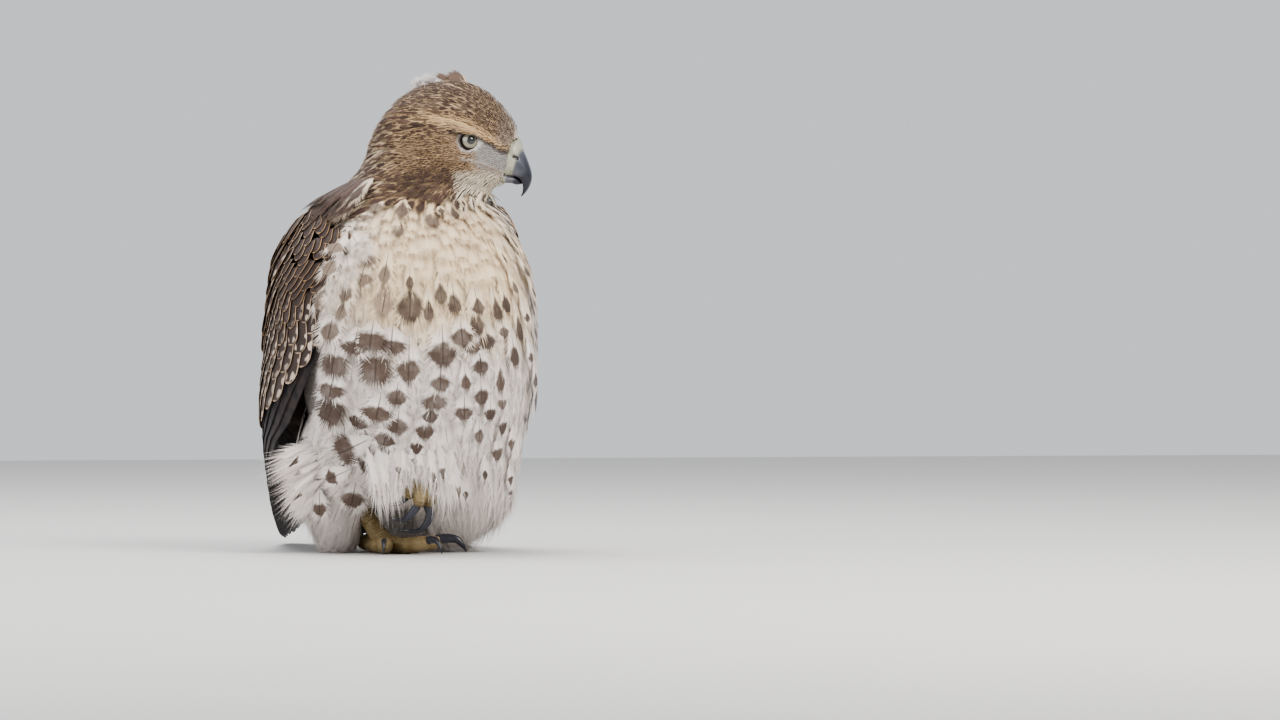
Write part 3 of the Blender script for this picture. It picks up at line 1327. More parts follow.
# Dark marks of the breast and belly as the photo shows them, in millimetres: across the view from
# the body's middle, height, half width and half length
BREAST_MARKS = [
    (37, 248, 1.1, 3.4), (-26, 244, 5.1, 5.1), (21, 242, 2.3, 3.4), (-7, 241, 4, 6.8), (31, 240, 2.8, 5.1),
    (-33, 238, 4.6, 3), (15, 235, 4, 8), (68, 235, 1.4, 5.7), (-10, 228, 2.7, 6.8), (-38, 222, 4, 4),
    (71, 219, 1.1, 6.3), (-51, 213, 6.3, 4.1), (64, 208, 1.1, 4.6), (-29, 207, 5.1, 4.8),
    (-54, 198, 5.7, 6.8), (77, 198, 2.5, 4), (-18, 196, 4.3, 6.8), (-35, 193, 5.7, 5.2),
    (-1, 191, 2.7, 5.7), (71, 187, 2.5, 4.6), (82, 184, 1.6, 4.6), (-44, 182, 5.1, 7.4),
    (21, 182, 3.2, 5.7), (-60, 176, 5.7, 8.5), (-18, 175, 5.7, 11.4), (30, 175, 4.1, 6.8),
    (66, 175, 3.2, 7.4), (46, 174, 4.6, 5.7), (0, 171, 6.3, 12.5), (12, 170, 2.8, 6.8),
    (60, 170, 3.6, 6.8), (-46, 169, 4.1, 5.7), (78, 167, 3.4, 2.8), (45, 161, 5.1, 10.3),
    (64, 157, 4.6, 4.6), (74, 156, 3, 9.1), (-55, 155, 6.8, 6.8), (35, 152, 5.7, 5.7), (53, 150, 5.1, 4.6),
    (-28, 149, 10.3, 5.7), (-14, 146, 9.1, 4.3), (43, 146, 5.7, 4.6), (-39, 145, 8, 5.1),
    (22, 139, 6.8, 8), (80, 139, 3.6, 4.1), (70, 138, 4.3, 8.5), (-53, 132, 12.5, 6.8),
    (48, 132, 5.1, 5.7), (-26, 129, 10.3, 9.1), (-3, 129, 6.3, 9.1), (83, 122, 3.2, 5.1),
    (62, 121, 4.1, 8.5), (37, 121, 3.4, 5.1), (20, 120, 5.7, 5.7), (-53, 115, 10.3, 5.1),
    (-10, 110, 5.7, 5.7), (48, 110, 4.6, 5.7), (16, 107, 6.3, 5.7), (82, 106, 3.9, 7.4),
    (63, 106, 3.2, 4.1), (-55, 100, 11.4, 9.1), (-24, 99, 8, 5.1), (36, 99, 5.5, 5.5), (54, 99, 4.1, 4.8),
    (13, 97, 5.1, 4.6), (-38, 94, 5.7, 4.6), (-10, 90, 5.7, 5.1), (63, 88, 3.2, 3.9), (9, 86, 5.5, 4.6),
    (46, 83, 3, 4.1), (-19, 81, 6.3, 5.1), (67, 77, 2.7, 3.6), (-48, 75, 9.7, 8), (3, 75, 3.6, 3.6),
    (58, 70, 3.2, 4.6), (-31, 61, 6.6, 4.1), (-55, 58, 5.1, 3.4), (-14, 56, 3.6, 3.9), (50, 56, 1.8, 3.9),
    (67, 52, 2.7, 3.2), (-45, 44, 5.5, 4.8), (37, 44, 1.6, 2.7), (67, 41, 3, 3.4), (-65, 33, 4.3, 3.4),
    (55, 22, 3.6, 3.4), (50, 12, 1.6, 2.3)]


def breast_marks():
    """The feathers that carry the photo's dark marks, laid over the plain ones."""
    table = np.array(BREAST_MARKS, float)
    centres, outs, met = SEEN(table[:, 0], table[:, 1])
    across, height, wide, tall = table[met].T
    count = len(across)
    collar = ramp(height, 214, 226)
    length = mix(np.clip(tall / 0.24, 22, 38), np.clip(tall / 0.3, 13, 22), collar)
    roots, outs = OUTSIDE(centres - lie_of_coat(centres, outs) * (0.76 * length)[:, None])
    lift = 2.8 + 5 * ramp(-across, 34, 50) + 4 * ramp(across, 64, 84) + 1.2 * ramp(height, 80, 60)
    lift = mix(lift, 1.6, collar)
    sunk = mix(2.2 - lift * 0.55, 3.2, collar)
    start, way, out = laid(OUTSIDE, roots, outs, unit(centres - roots), length, sunk, lift, yaw=0.03)
    wide, tall = np.where(wide > 6.5, 1.7, 1.35) * wide, 1.4 * tall
    half = np.clip(wide / 0.66, mix(5.5, 3.0, collar), mix(15, 7, collar))
    sweep = np.where(wide > 7.5, -0.14, np.where(height < 118, -0.22, -0.03))
    ground = body_marks(roots, np.ones(count))[0]
    pale = ramp(height, 145, 180) * ramp(-across, 2, 18) * (wide > 3)
    ink = blendings(MARK_BROWN, (0.7 * pale, LIGHT_MARK))
    coat("coat_marks", "contour", start, way, out, length, half,
         (ground, ink, np.stack([wide / half, tall / length, sweep], 1)), 0.7 * (wide > 3.5))


# Where the rump's feathers run in side view, from the back to the tail: y and height
RUMP_LINE = along([0, 0.1, 0.25, 0.42, 0.6, 0.8, 1], [91, 97, 105, 114, 128, 148, 172])
RUMP_HEIGHT = along([0, 0.1, 0.25, 0.42, 0.6, 0.8, 1], [144, 122, 99, 79, 60, 43, 30])


def rump():
    """Rows of feathers that run from the back down on to the tail."""
    rows = []
    for i, part in enumerate(np.linspace(0.06, 0.54, 8)):
        wide = mix(36, 26, part)
        for across in np.linspace(-1, 1, 8 - i % 2):
            rows.append((part, across * wide + 1.2 * rng.normal(), across))
    part, x, across = np.array(rows).T

    def at(run, high):
        low = 9 * across**2
        return np.stack([TAIL_X + x * mix(1, 0.8, run), RUMP_LINE(run) - low * 0.5,
                         RUMP_HEIGHT(run) - low + high], 1)

    roots, tips = at(part - 0.05, -4.0), at(part + 0.2, 2.5 - 1.5 * part)
    ways, sides = upright(tips - roots,
                          np.stack([0.25 * across, np.full(len(x), 0.6), np.full(len(x), 1.0)], 1))
    coat("coat_rump", "contour", roots, ways, sides, np.linalg.norm(tips - roots, axis=1), 8.5,
         (linear(150, 124, 102), BACK_BROWN, (0.95, 0.45, -0.1)), 0.6, "tail", "tail_feathers")


def cape():
    """Feathers of the lower neck that hang over the tops of both wings."""
    for side, name in ((-1, "right"), (1, "left")):
        count = 64
        angle = np.linspace(46 if side < 0 else 104, 176, count) + 2 * rng.normal(size=count)
        turned = np.radians(angle)
        upper = np.arange(count) % 2
        spots = np.stack([TORSO_X + side * 46 * np.sin(turned), 4 - 44 * np.cos(turned), 262 + 8.0 * upper],
                         1)
        roots, outs = OUTSIDE(spots)
        low = 238 + 9 * upper + 1.5 * rng.normal(size=count)
        guide = gown_out(side, low, angle)
        tips = gown(side, low, angle) + guide * (4.5 + 2.5 * upper)[:, None]
        ways, sides = upright(tips - roots, outs + guide)
        behind = ramp(angle, 42, 58)[:, None]
        ground = mix(WHITE * 0.5 + CREAM * 0.5, linear(166, 136, 108), behind)
        ink = mix(MARK_BROWN, BACK_BROWN, behind)
        mark = mix(np.array([0.6, 0.35, -0.05]), np.array([1.0, 0.95, -0.05]), behind)
        coat(f"coat_cape_{name}", "contour", roots - outs * 2, ways, sides,
             np.linalg.norm(tips - roots, axis=1) + 2,
             6.5, (ground, ink, mark), 0.5)


def foot_veil():
    """Belly plumes that hang over the drawn-up foot."""
    x = np.concatenate([np.linspace(-22, 40, 26), np.linspace(-20, 38, 22)]) + 0.8 * rng.normal(size=48)
    count = len(x)
    roots = np.stack([x, np.full(count, -51.0) + rng.normal(size=count), 76 + 3 * rng.normal(size=count)], 1)
    bare = bump(x, 11, 12)
    drop = mix(34, 16, bare) + 2.5 * rng.normal(size=count)
    tips = roots + np.stack([rng.normal(size=count) * 2 - 2 * (x - 14) / 20, -13 + rng.normal(size=count),
                             -drop], 1)
    ways, sides = upright(tips - roots, [0.0, -1.0, 0.2] + 0.15 * rng.normal(size=(count, 3)))
    mark = np.array([0.42, 0.13, -0.3]) * (rng.random((count, 1)) < 0.22)
    coat("coat_veil", "plume", roots, ways, sides, np.linalg.norm(tips - roots, axis=1), 6.0,
         (LEG_WHITE, MARK_BROWN, mark), 0.2)


def finish_skin():
    """Sinks the form under its coat and gives it the coat's ground colours."""
    points = coords(form)
    normals = vertex_normals(form)
    ground, ink, mark = coat_marks(points, np.full(len(points), 0.5))
    head = headness(points)
    darker = np.clip(mark[:, :1], 0, 1) * 0.5 * head[:, None]
    bare = bareness(points)
    h = to_head(points)
    tone = mix(ground, ink, darker)
    under_brow = bump(h[:, 2], BROW_SHADE(h[:, 0]) - 1.6, 2.0) * ramp(h[:, 0], 2, 10) * ramp(h[:, 0], 50, 42)
    tone = blendings(tone, (bare, LORE_GREY), (0.5 * bare * ramp(h[:, 0], 49, 51), linear(192, 194, 178)),
                     (under_brow * head, linear(52, 44, 42)))
    shadow = 1 - 0.35 * (1 - bare)
    settle(form, points - normals * coat_depth(points)[:, None])
    paint(form, "ground", tone * shadow[:, None])
    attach(form, "root")
    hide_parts("torso", "neck", "head", "leg_right", "leg_left", "undertail")


# Wings

gown_right, gown_left, gown_y, gown_deep = columns([
    [4, 76, 72, 127, 137], [12, 79, 74, 115, 125], [25, 85, 76, 95, 103], [50, 94, 80, 64, 86],
    [80, 101, 85, 38, 80], [110, 104, 88, 20, 82], [150, 103, 89, 8, 84], [200, 97, 84, 2, 78],
    [225, 87, 75, 0, 68], [240, 76, 63, 0, 57],
    [252, 62, 52, 0, 50], [262, 48, 41, 0, 43], [270, 36, 32, 0, 36]])
right_wing_ahead = along([4, 8, 25, 50, 65, 80, 95, 120, 150, 180, 200, 212, 235, 246],
                         [118, 111, 94, 76, 68, 60, 50, 47, 46, 50, 42, 38, 42, 58])
LEFT_WING_AHEAD = 102
wing_behind = along([4, 25, 40, 80, 110, 150, 200, 246], [160, 161, 162, 160, 157, 150, 148, 150])
sunken = along([80, 110, 150, 200, 240], [0, 0.5, 4, 8, 10])


def gown(side, z, angle):
    wide = gown_right(z) if side < 0 else gown_left(z)
    turned = np.radians(angle)
    return np.stack(np.broadcast_arrays(BODY_X + side * wide * np.sin(turned),
                                        gown_y(z) - gown_deep(z) * np.cos(turned), z), -1)


def gown_out(side, z, angle):
    rise = gown(side, z + 1, angle) - gown(side, z - 1, angle)
    around = gown(side, z, angle + 1) - gown(side, z, angle - 1)
    return unit(np.cross(around, rise)) * side


def wing_ahead(side, z):
    """Where a wing's front edge lies; the left one's is hidden under the flank."""
    ahead = right_wing_ahead(z)
    return ahead if side < 0 else np.maximum(ahead, mix(84, LEFT_WING_AHEAD, ramp(z, 70, 112)))


def shoulder(z):
    """Less than 1 where the wing's feathers draw in to the neck."""
    return 1 - 0.8 * ramp(z, 236, 264)


class Vanes:
    """Collects broad vanes as one mesh, each a thin closed blade with its own map and looks."""

    def __init__(self):
        self.points, self.faces = [], []
        self.looks = {key: [] for key in ("vane", "bake", "ground", "ink", "mark", "seed")}

    def blade(self, grid, outs, thick, looks, place):
        """A blade over a grid of rows and columns, whose looks are ground, ink and mark."""
        rows, cols = grid.shape[:2]
        count = rows * cols
        edge = np.linspace(-1, 1, cols)
        deep = thick * (1 - 0.7 * edge**2)[None, :, None]
        first = sum(len(p) for p in self.points)
        self.points += [(grid + outs * deep / 2).reshape(-1, 3), (grid - outs * deep / 2).reshape(-1, 3)]
        run = distance_along(grid[:, cols // 2])[:, None]
        vane = np.stack(np.broadcast_arrays(edge * 0.5 + 0.5, run / run[-1]), -1).reshape(-1, 2)
        self.looks["vane"].append(np.tile(vane, (2, 1)))
        for key, value in zip(("bake", "ground", "ink", "mark"), (place, *looks)):
            self.looks[key].append(np.tile(value, (2 * count, 1)))
        self.looks["seed"].append(np.full(2 * count, rng.uniform(0, 50)))
        index = np.arange(count).reshape(rows, cols) + first
        quads = np.stack([index[:-1, :-1], index[:-1, 1:], index[1:, 1:], index[1:, :-1]], -1).reshape(-1, 4)
        border = np.concatenate([index[:-1, 0], index[-1, :-1], index[:0:-1, -1], index[0, :0:-1]])
        after = np.roll(border, -1)
        rim = np.stack([border, after, after + count, border + count], 1)
        self.faces += [quads, quads[:, ::-1] + count, rim]

    def made(self, name, slot, *nodes):
        piece = new_mesh(name, np.vstack(self.points), np.vstack(self.faces), STIFF_VANE)
        looks = {key: np.concatenate(values) for key, values in self.looks.items()}
        corners = read(piece.data.loops, "vertex_index", kind=np.int32)
        write_map(piece.data, "Vane", looks["vane"][corners])
        write_map(piece.data, "OFBake", (looks["bake"] + (looks["vane"] - 0.5) * PATCH)[corners])
        for key in ("ground", "ink"):
            paint(piece, key, looks[key])
        for key in ("mark", "seed"):
            note(piece, key, looks[key])
        above_floor(piece)
        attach(piece, "root")
        if nodes:
            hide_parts(*nodes)


BLADE = along([0, 0.1, 0.35, 1], [0.45, 0.8, 1, 1])
FEATHER_TILT = 0.1


def wing_feather(vanes, side, root, tip, half, lift, looks, rows=14, cols=7, sink=1.0, tilt=FEATHER_TILT,
                 rise=0.35):
    """A blade with a rounded end over the wing's guide surface, between two places on it."""
    length = abs(root[0] - tip[0]) + 1
    end = min(1.15 * half / length, 0.5)
    straight = np.linspace(0, 1 - end, rows - 5)
    curved = 1 - end + end * np.sin(np.linspace(0, math.pi / 2, 6)[1:])
    part = np.concatenate([straight, curved])[:, None]
    rounding = np.sqrt(np.clip(1 - np.maximum((part - 1 + end) / end, 0) ** 2, 0.006, 1))
    u = np.linspace(-1, 1, cols)[None, :]
    z = root[0] + (tip[0] - root[0]) * part
    middle = mix(wing_ahead(side, z), wing_behind(z), mix(root[1], tip[1], part))
    per_degree = np.linalg.norm(gown(side, z, middle + 1) - gown(side, z, middle - 1), axis=-1) / 2
    wide = half * BLADE(part) * rounding
    angle = middle - u * wide / per_degree
    sag = sunken(z) * sink if side < 0 else 0
    off = (mix(-3.0, lift, ramp(part, 0, rise)) - sag) * shoulder(z) + tilt * wide * u
    outs = gown_out(side, z, angle)
    grid = gown(side, z, angle) + outs * off[..., None]
    left, low, across, high = CHARTS["wing_right" if side < 0 else "wing_left"]
    place = (left + across * np.clip(root[1], 0, 1), low + high * root[0] / 260)
    ground, rim, mark = looks
    if side > 0:
        grid, outs = grid[:, ::-1], outs[:, ::-1]
    vanes.blade(grid, outs, 0.45, (ground * (1 + 0.12 * rng.normal()), rim, mark), place)


# How high the greater coverts end, from the wing's front edge to its rear
tip_line = along([0, 0.15, 0.4, 1], [152, 122, 92, 74])


def cover_looks(tier, place):
    """Coverts: finely rimmed at the wrist, spotted further out, palest at the greater ones' tips."""
    wrist = float(ramp(place, 0.4, 0.15)) * float(ramp(tier, 1, 4))
    spots = (1 - wrist) * float(rng.uniform(0.35, 1)) * float(ramp(tier, 8, 4))
    return WING_BROWN, mix(WING_RIM, WING_SPOT, 0.5 * (1 - wrist)), (0.1 + 0.06 * rng.random(), spots, 0.0)


# Rows of coverts: how far their tips lie above the greater ones', length, how many, half width
COVERT_ROWS = [(0, 50, 14, 8.6), (17, 38, 14, 8.2), (31, 32, 14, 7.6), (43, 28, 15, 7), (54, 25, 15, 6.4),
               (63, 22, 16, 6), (71, 20, 16, 5.8), (79, 19, 16, 5.6), (87, 18, 16, 5.4), (95, 17, 16, 5.2),
               (103, 17, 16, 5),
               (111, 17, 16, 5), (119, 17, 16, 5), (127, 17, 16, 5), (135, 17, 16, 5)]


def lining(vanes, side, angles, low, off):
    """A brown sheet under the feathers from a line of lowest heights up to the shoulder."""
    part = np.linspace(0, 1, 26)[:, None]
    z = mix(260.0, low[None, :], part)
    angle = angles(z)
    if side > 0:
        z, angle = z[:, ::-1], angle[:, ::-1]
    outs = gown_out(side, z, angle)
    grid = gown(side, z, angle) + outs * (off(z) * shoulder(z))[..., None]
    left, foot, across, high = CHARTS["wing_right" if side < 0 else "wing_left"]
    vanes.blade(grid, outs, 1.0, (WING_BROWN, WING_BROWN, np.zeros(3)), (left + across / 2, foot + high / 2))


def dress_wing(side):
    vanes = Vanes()
    places = np.linspace(0.97, 0.04, 18)
    lining(vanes, side, lambda z: mix(wing_ahead(side, z), wing_behind(z), places[None, :]),
           tip_line(places) + 14,
           lambda z: -1.6 - (sunken(z) if side < 0 else 0))
    flights = 20
    for i in range(flights):
        part = i / (flights - 1)
        tip_z = np.interp(part, [0, 0.17, 0.33, 0.5, 0.67, 0.83, 1], [4.5, 9, 19, 35, 54, 73, 92])
        tip_place = np.interp(part, [0, 0.17, 0.33, 0.5, 1], [0.3, 0.6, 0.8, 0.88, 0.95])
        root = (mix(172, 132, part), mix(0.02, 0.9, part))
        looks = (WING_DARK, linear(104, 96, 98), (0.05, 0.0, 0.25)) if part < 0.5 else (
            WING_BROWN, WING_RIM, (0.08, 0.15, 0.4))
        wing_feather(vanes, side, root, (tip_z, tip_place), mix(8, 11, part), 3 * part - 1, looks, rows=20)
    for tier, (above, length, count, half) in enumerate(COVERT_ROWS):
        for i in range(count):
            place = (i + 0.5 + 0.5 * (tier % 2) + 0.12 * rng.normal()) / (count + 0.5) * 0.98
            tip = tip_line(place) + above + 1.2 * rng.normal()
            if tip > 236:
                continue
            root = (min(tip + length, 256), place * 0.94 + 0.02)
            wing_feather(vanes, side, root, (tip, place), half, 2.0 + 0.75 * tier + 2 * place - 1,
                         cover_looks(tier, place), rows=12)
    for row in range(6):
        for i in range(7):
            place = 0.4 + 0.1 * i + 0.05 * (row % 2) + 0.015 * rng.normal()
            top = 262 - 13 * row - 3 * i + 2 * rng.normal()
            looks = (WING_BROWN, WING_RIM, (0.09, rng.uniform(0.3, 1) * (row > 1), 0.0))
            wing_feather(vanes, side, (top, place), (top - 44 - 5 * i, place + 0.02), 10, 14 - 1.4 * row,
                         looks,
                         rows=14, rise=0.6)
    return vanes


def dress_mantle():
    """The back's feathers, which lie over the inner edges of both wings."""
    vanes = Vanes()
    turned = np.linspace(180, 138, 12)
    for side in (-1, 1):
        lining(vanes, side, lambda z: np.broadcast_to(turned, (len(z), 12)), np.full(12, 118.0),
               lambda z: 1.5 + 0 * z)
    for row in range(13):
        top = 138 + 10.5 * row
        wide = mix(26, 44, float(ramp(top, 140, 230)))
        count = 7 if row % 2 else 8
        for i in range(count):
            turned = (i + 0.5 - count / 2) / (count / 2) * wide + 1.2 * rng.normal()
            side = 1 if turned > 0 else -1
            angle = 180 - abs(turned)
            ahead, behind = wing_ahead(side, top), wing_behind(top)
            place = float((angle - ahead) / (behind - ahead))
            looks = (WING_BROWN, WING_RIM, (0.09, 0.35 * float(rng.random() < 0.4), 0.0))
            wing_feather(vanes, side, (top + 3 * rng.normal(), place), (top - 36, place), 9.5,
                         5 + 0.9 * row, looks,
                         rows=12, sink=0, tilt=0.02, rise=0.7)
    return vanes


dress_body()
crown_tufts()
flank_plumes()
side_feathers()
flank_cover("coat_flank_left", 6.2, 4.8, 0, False)
flank_cover("coat_flank_marks", 13.5, 9.5, 0.9, True)
breast_marks()
foot_veil()
cape()
finish_skin()
for side, name in ((-1, "wing_right"), (1, "wing_left")):
    dress_wing(side).made(f"quills_{name}", "wing_feathers", name)
dress_mantle().made("quills_mantle", "wing_feathers")


# Tail

TAIL_SPINE = [[0, 74, 76], [0, 118, 46], [0, 170, 22], [0, 225, 10], [0, 286, 7.3]]
TAIL_X = BODY_X + 3
TAIL_PAIRS = 6
TAIL_STEP = 1.2


def dress_tail():
    vanes = Vanes()
    spine = spline(TAIL_SPINE, 60)
    run = distance_along(spine) / distance_along(spine)[-1]
    part = np.linspace(0, 1, 30)
    for pair in range(TAIL_PAIRS - 1, -1, -1):
        for side in (-1, 1):
            reach = 1 - 0.006 * pair * pair
            t = part * reach
            line = np.stack([np.interp(t, run, spine[:, i]) for i in range(3)], 1)
            way = way_along(line)
            out = np.cross([1, 0, 0], way)
            outer = mix(7 + 1.4 * pair, 12 + 3.6 * pair, part)
            inner = np.where(side > 0 and pair == 0, -0.6 * outer, np.maximum(0.5, outer - mix(12, 20, part)))
            level = pair if side > 0 else pair + 1
            round_end = 1 - 0.9 * ramp(part, 0.93, 1.0) ** 2
            u = np.linspace(-1, 1, 9)
            half = (outer - inner) / 2 * round_end
            x = TAIL_X + side * ((outer + inner)[:, None] / 2 + u[None, :] * side * half[:, None])
            grid = np.repeat(line[:, None, :], 9, 1)
            grid[:, :, 0] = x
            grid = grid - out[:, None, :] * (TAIL_STEP * level + 0.5 * u[None, :] ** 2 - 0.5)[..., None]
            outs = np.repeat(out[:, None, :], 9, 1)
            left, low, wide, high = CHARTS["tail"]
            place = (left + wide * (0.5 + side * (pair + 0.5) / 13), low + high * 0.5)
            looks = TAIL_BROWN * (1 + 0.08 * rng.normal()), linear(206, 186, 164), (0.06, 0.0, 0.75)
            vanes.blade(grid[:, ::-1], outs, 0.4, looks, place)
    return vanes


dress_tail().made("quills_tail", "tail_feathers", "tail")
rump()


# Bill

UPPER_BILL = [[47, -5, 43, -31.5, 10.8], [50, -4.9, 44.4, -31.4, 10.7], [52.3, -5.2, 45.5, -31.3, 10.4],
              [54.3, -12, 48, -31.5, 9.4], [57.3, -19, 50.3, -32, 8], [59.9, -26, 52.4, -33.4, 6.3],
              [60.9, -31.5, 53.9, -35.5, 4.7], [59.9, -36.8, 54.7, -38.6, 3.3],
              [57.2, -41.8, 54.3, -42.4, 1.9],
              [53.5, -45.7, 53, -45, 0.4]]
LOWER_BILL = [[42.5, -29.5, 41.5, -36, 9], [47, -30.6, 46.5, -36.3, 7.2], [50.5, -31.6, 50.3, -37.3, 5],
              [53.9, -34.4, 54.1, -36.6, 1.4]]
NOSTRIL = np.array([51.2, 9.2, -18.2])
SLIT = np.array([[0.86, 0, 0.5], [0, 1, 0], [-0.5, 0, 0.86]])  # the nostril's slant


def bill(name, table, node, cere_end):
    """A horn from side-view sections: the top's and the bottom's x and z, and the half width."""
    rings = []
    for top_x, top_z, low_x, low_z, wide in spline(table, 84):
        top, low = np.array([top_x, 0, top_z]), np.array([low_x, 0, low_z])
        up = unit(top - low)
        high = np.linalg.norm(top - low) / 2
        middle = (top + low) / 2
        ring = []
        for angle in circle(72):
            power = 2 / (2 if angle < math.pi else 3)
            u = math.copysign(abs(math.cos(angle)) ** power, math.cos(angle))
            v = math.copysign(abs(math.sin(angle)) ** power, math.sin(angle))
            ring.append(middle + up * high * v + np.array([0, max(wide, 0.2) * u, 0]))
        rings.append(ring)
    rings = np.array(rings)
    run, points = run_of(rings), capped(rings)
    hole = np.zeros(len(points))
    if cere_end:
        off = (to_left(points) - NOSTRIL) @ SLIT / np.array([2.7, 5.0, 1.5])
        hole = ramp(np.linalg.norm(off, axis=1), 1.15, 0.6)
        swell = bump(run, cere_end * 0.72, cere_end * 0.35) * 0.5
        points[:, 1] *= 1 + 0.05 * swell
        points[:, 1] -= np.sign(points[:, 1]) * hole * 1.8
    made = new_mesh(name, from_head(points), ring_faces(*rings.shape[:2]), BILL_HORN)
    low = ramp(points[:, 2], -24, -31) * ramp(run, 0.62, 0.4)
    ridge = ramp(points[:, 1] ** 2, 40, 4)
    base = blendings(linear(168, 167, 148),
                     (ramp(run, cere_end - 0.05, cere_end + 0.04), linear(76, 77, 86)),
                     (ramp(run, cere_end + 0.03, cere_end + 0.3), linear(42, 43, 52)),
                     (0.5 * low * ramp(run, cere_end - 0.2, cere_end), linear(118, 117, 124)),
                     (0.6 * ridge * ramp(run, cere_end, cere_end + 0.1), linear(40, 41, 50)),
                     (ramp(run, 0.75, 1), linear(30, 31, 40)), (hole, linear(34, 28, 26)))
    paint(made, "ground", base)
    outwards(made, merge=False)
    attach(made, "root")
    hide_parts(node)


bill("upper_bill", UPPER_BILL, "bill_upper", 0.34)
bill("lower_bill", LOWER_BILL, "bill_lower", 0.12)


# Eyes

def eye_frame(side):
    """An eye's middle and its axes across, up and out, in the head's frame."""
    look = unit(np.array(EYE_LOOK) * [1, side, 1])
    across = unit(np.cross([0, 0, 1], look))
    return np.array(EYE_CENTRE) * [1, side, 1], across, np.cross(look, across), look


def eye(side, name):
    """A ball with a bulging cornea; its colours go by the distance from its axis."""
    centre, across, up, look = eye_frame(side)
    rings, sides = 60, 72
    angle = np.repeat(math.pi * (np.arange(rings) + 0.5) / rings, sides)
    turned = np.tile(circle(sides), rings)
    around = np.outer(np.cos(turned), across) + np.outer(np.sin(turned), up)
    ways = np.outer(np.cos(angle), look) + around * np.sin(angle)[:, None]
    points = centre + ways * (EYE_RADIUS + CORNEA * bump(angle, 0, 0.45))[:, None]
    points = np.vstack([points, centre + look * (EYE_RADIUS + CORNEA), centre - look * EYE_RADIUS])
    off = EYE_RADIUS * np.append(np.where(angle < math.pi / 2, np.sin(angle), 1), [0, 1])
    made = new_mesh(name, from_head(points), ring_faces(rings, sides), EYE)
    iris = linear(156, 150, 130)
    paint(made, "ground", blendings(linear(8, 8, 9), (ramp(off, 2.7, 2.95), iris * 0.75),
                                    (ramp(off, 3.0, 4.4), iris), (ramp(off, 5.2, 5.7), linear(30, 26, 24))))
    outwards(made, merge=False)
    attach(made, "root")
    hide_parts(name.replace("ball_", ""))


def lids(side, name):
    """The dark rim of lid round the eye and the shelf of the brow over it."""
    centre, across, up, look = eye_frame(side)
    rings = []
    for turned in circle(72):
        radial = across * math.cos(turned) + up * math.sin(turned)
        upper = max(math.sin(turned), 0)
        opening = 7.0 - 1.1 * upper**1.5
        depth = math.sqrt((EYE_RADIUS + 0.1) ** 2 - opening**2)
        middle = centre + look * (depth + 0.3 + 0.5 * upper) + radial * (opening + 0.8)
        thick = 0.85 + 0.5 * upper
        rings.append([middle + (radial * math.cos(b) + look * math.sin(b)) * thick
                      for b in circle(12)])
    rings = np.array(rings)
    count, sides = rings.shape[:2]
    faces = [(i * sides + j, i * sides + (j + 1) % sides, ((i + 1) % count) * sides + (j + 1) % sides,
              ((i + 1) % count) * sides + j) for i in range(count) for j in range(sides)]
    made = new_mesh(name, from_head(rings.reshape(-1, 3)), faces, SKIN)
    turned = np.tile(circle(sides), count)
    rim = ramp(np.cos(turned), 0.5, -0.1)
    paint(made, "ground", blendings(linear(112, 105, 98), (rim, linear(36, 32, 32))))
    outwards(made, merge=False)
    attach(made, "root")


def lips(side, name):
    """The soft edge of the gape, from below the eye to the bill."""
    line = spline(np.array(GAPE, float) * [1, side, 1], 30)
    on_skin, outs = OUTSIDE(from_head(line))
    stations = np.hstack([on_skin + outs * 0.1, np.linspace(0.25, 0.6, 30)[:, None]])
    made = tube(name, stations[::2], SKIN, sides=10, count=60)
    reach = to_head(coords(made))[:, 0]
    paint(made, "ground", blendings(linear(146, 126, 110), (ramp(reach, 34, 46), linear(164, 158, 142))))
    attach(made, "root")


for side, word in ((1, "left"), (-1, "right")):
    eye(side, f"ball_eye_{word}")
    lids(side, f"lids_{word}")
    lips(side, f"lips_{word}")


# Feet

def heading(angle):
    return np.array([math.sin(math.radians(angle)), -math.cos(math.radians(angle)), 0])


TOES = [(209, 30, 9, 28, 3.6), (68, 40, 9.5, 26, 3.6), (29, 48, 9.5, 21, 3.0), (-12, 36, 8.5, 17, 2.7)]
KNUCKLES = [0, 0.22, 0.36, 0.52, 0.66, 0.8, 0.92, 1]
TOE_RADII = [7, 6.2, 5.2, 5.8, 4.9, 5.4, 4.5, 3.4]
PALM = [19, -44, 56]
RAISED_TOES = [[PALM, [9, -46, 55], [-2, -46, 52], [-8, -46, 49.5]],
               [PALM, [22, -50, 48], [22, -54, 41], [20.5, -53, 35]],
               [PALM, [17, -53, 49], [14.5, -58, 41.5], [13, -57.5, 35]],
               [PALM, [13, -50, 51], [8.5, -51, 46], [6.5, -50, 41]]]
RAISED_TOE_RADII = [6.5, 5.6, 5, 3.6]
RAISED_CLAWS = [([[-8, -46, 49.5], [-14, -46, 46.5], [-16.5, -46, 38], [-14, -46, 28.5]], 3.4),
                ([[20.5, -53, 36], [22, -53, 26.5], [13, -53, 17], [-4, -53, 19.6]], 3.5),
                ([[12.5, -58, 35.5], [6, -58, 27.5], [-0.5, -58, 25], [-8, -58, 27.5]], 3.0),
                ([[6.5, -50, 42], [1, -51, 37.5], [-4, -52, 36], [-9, -53, 37.5]], 2.6)]
SCUTE = 2.3  # from one scute of a toe to the next
TOE_STEP = 0.5  # from one ring of a toe to the next


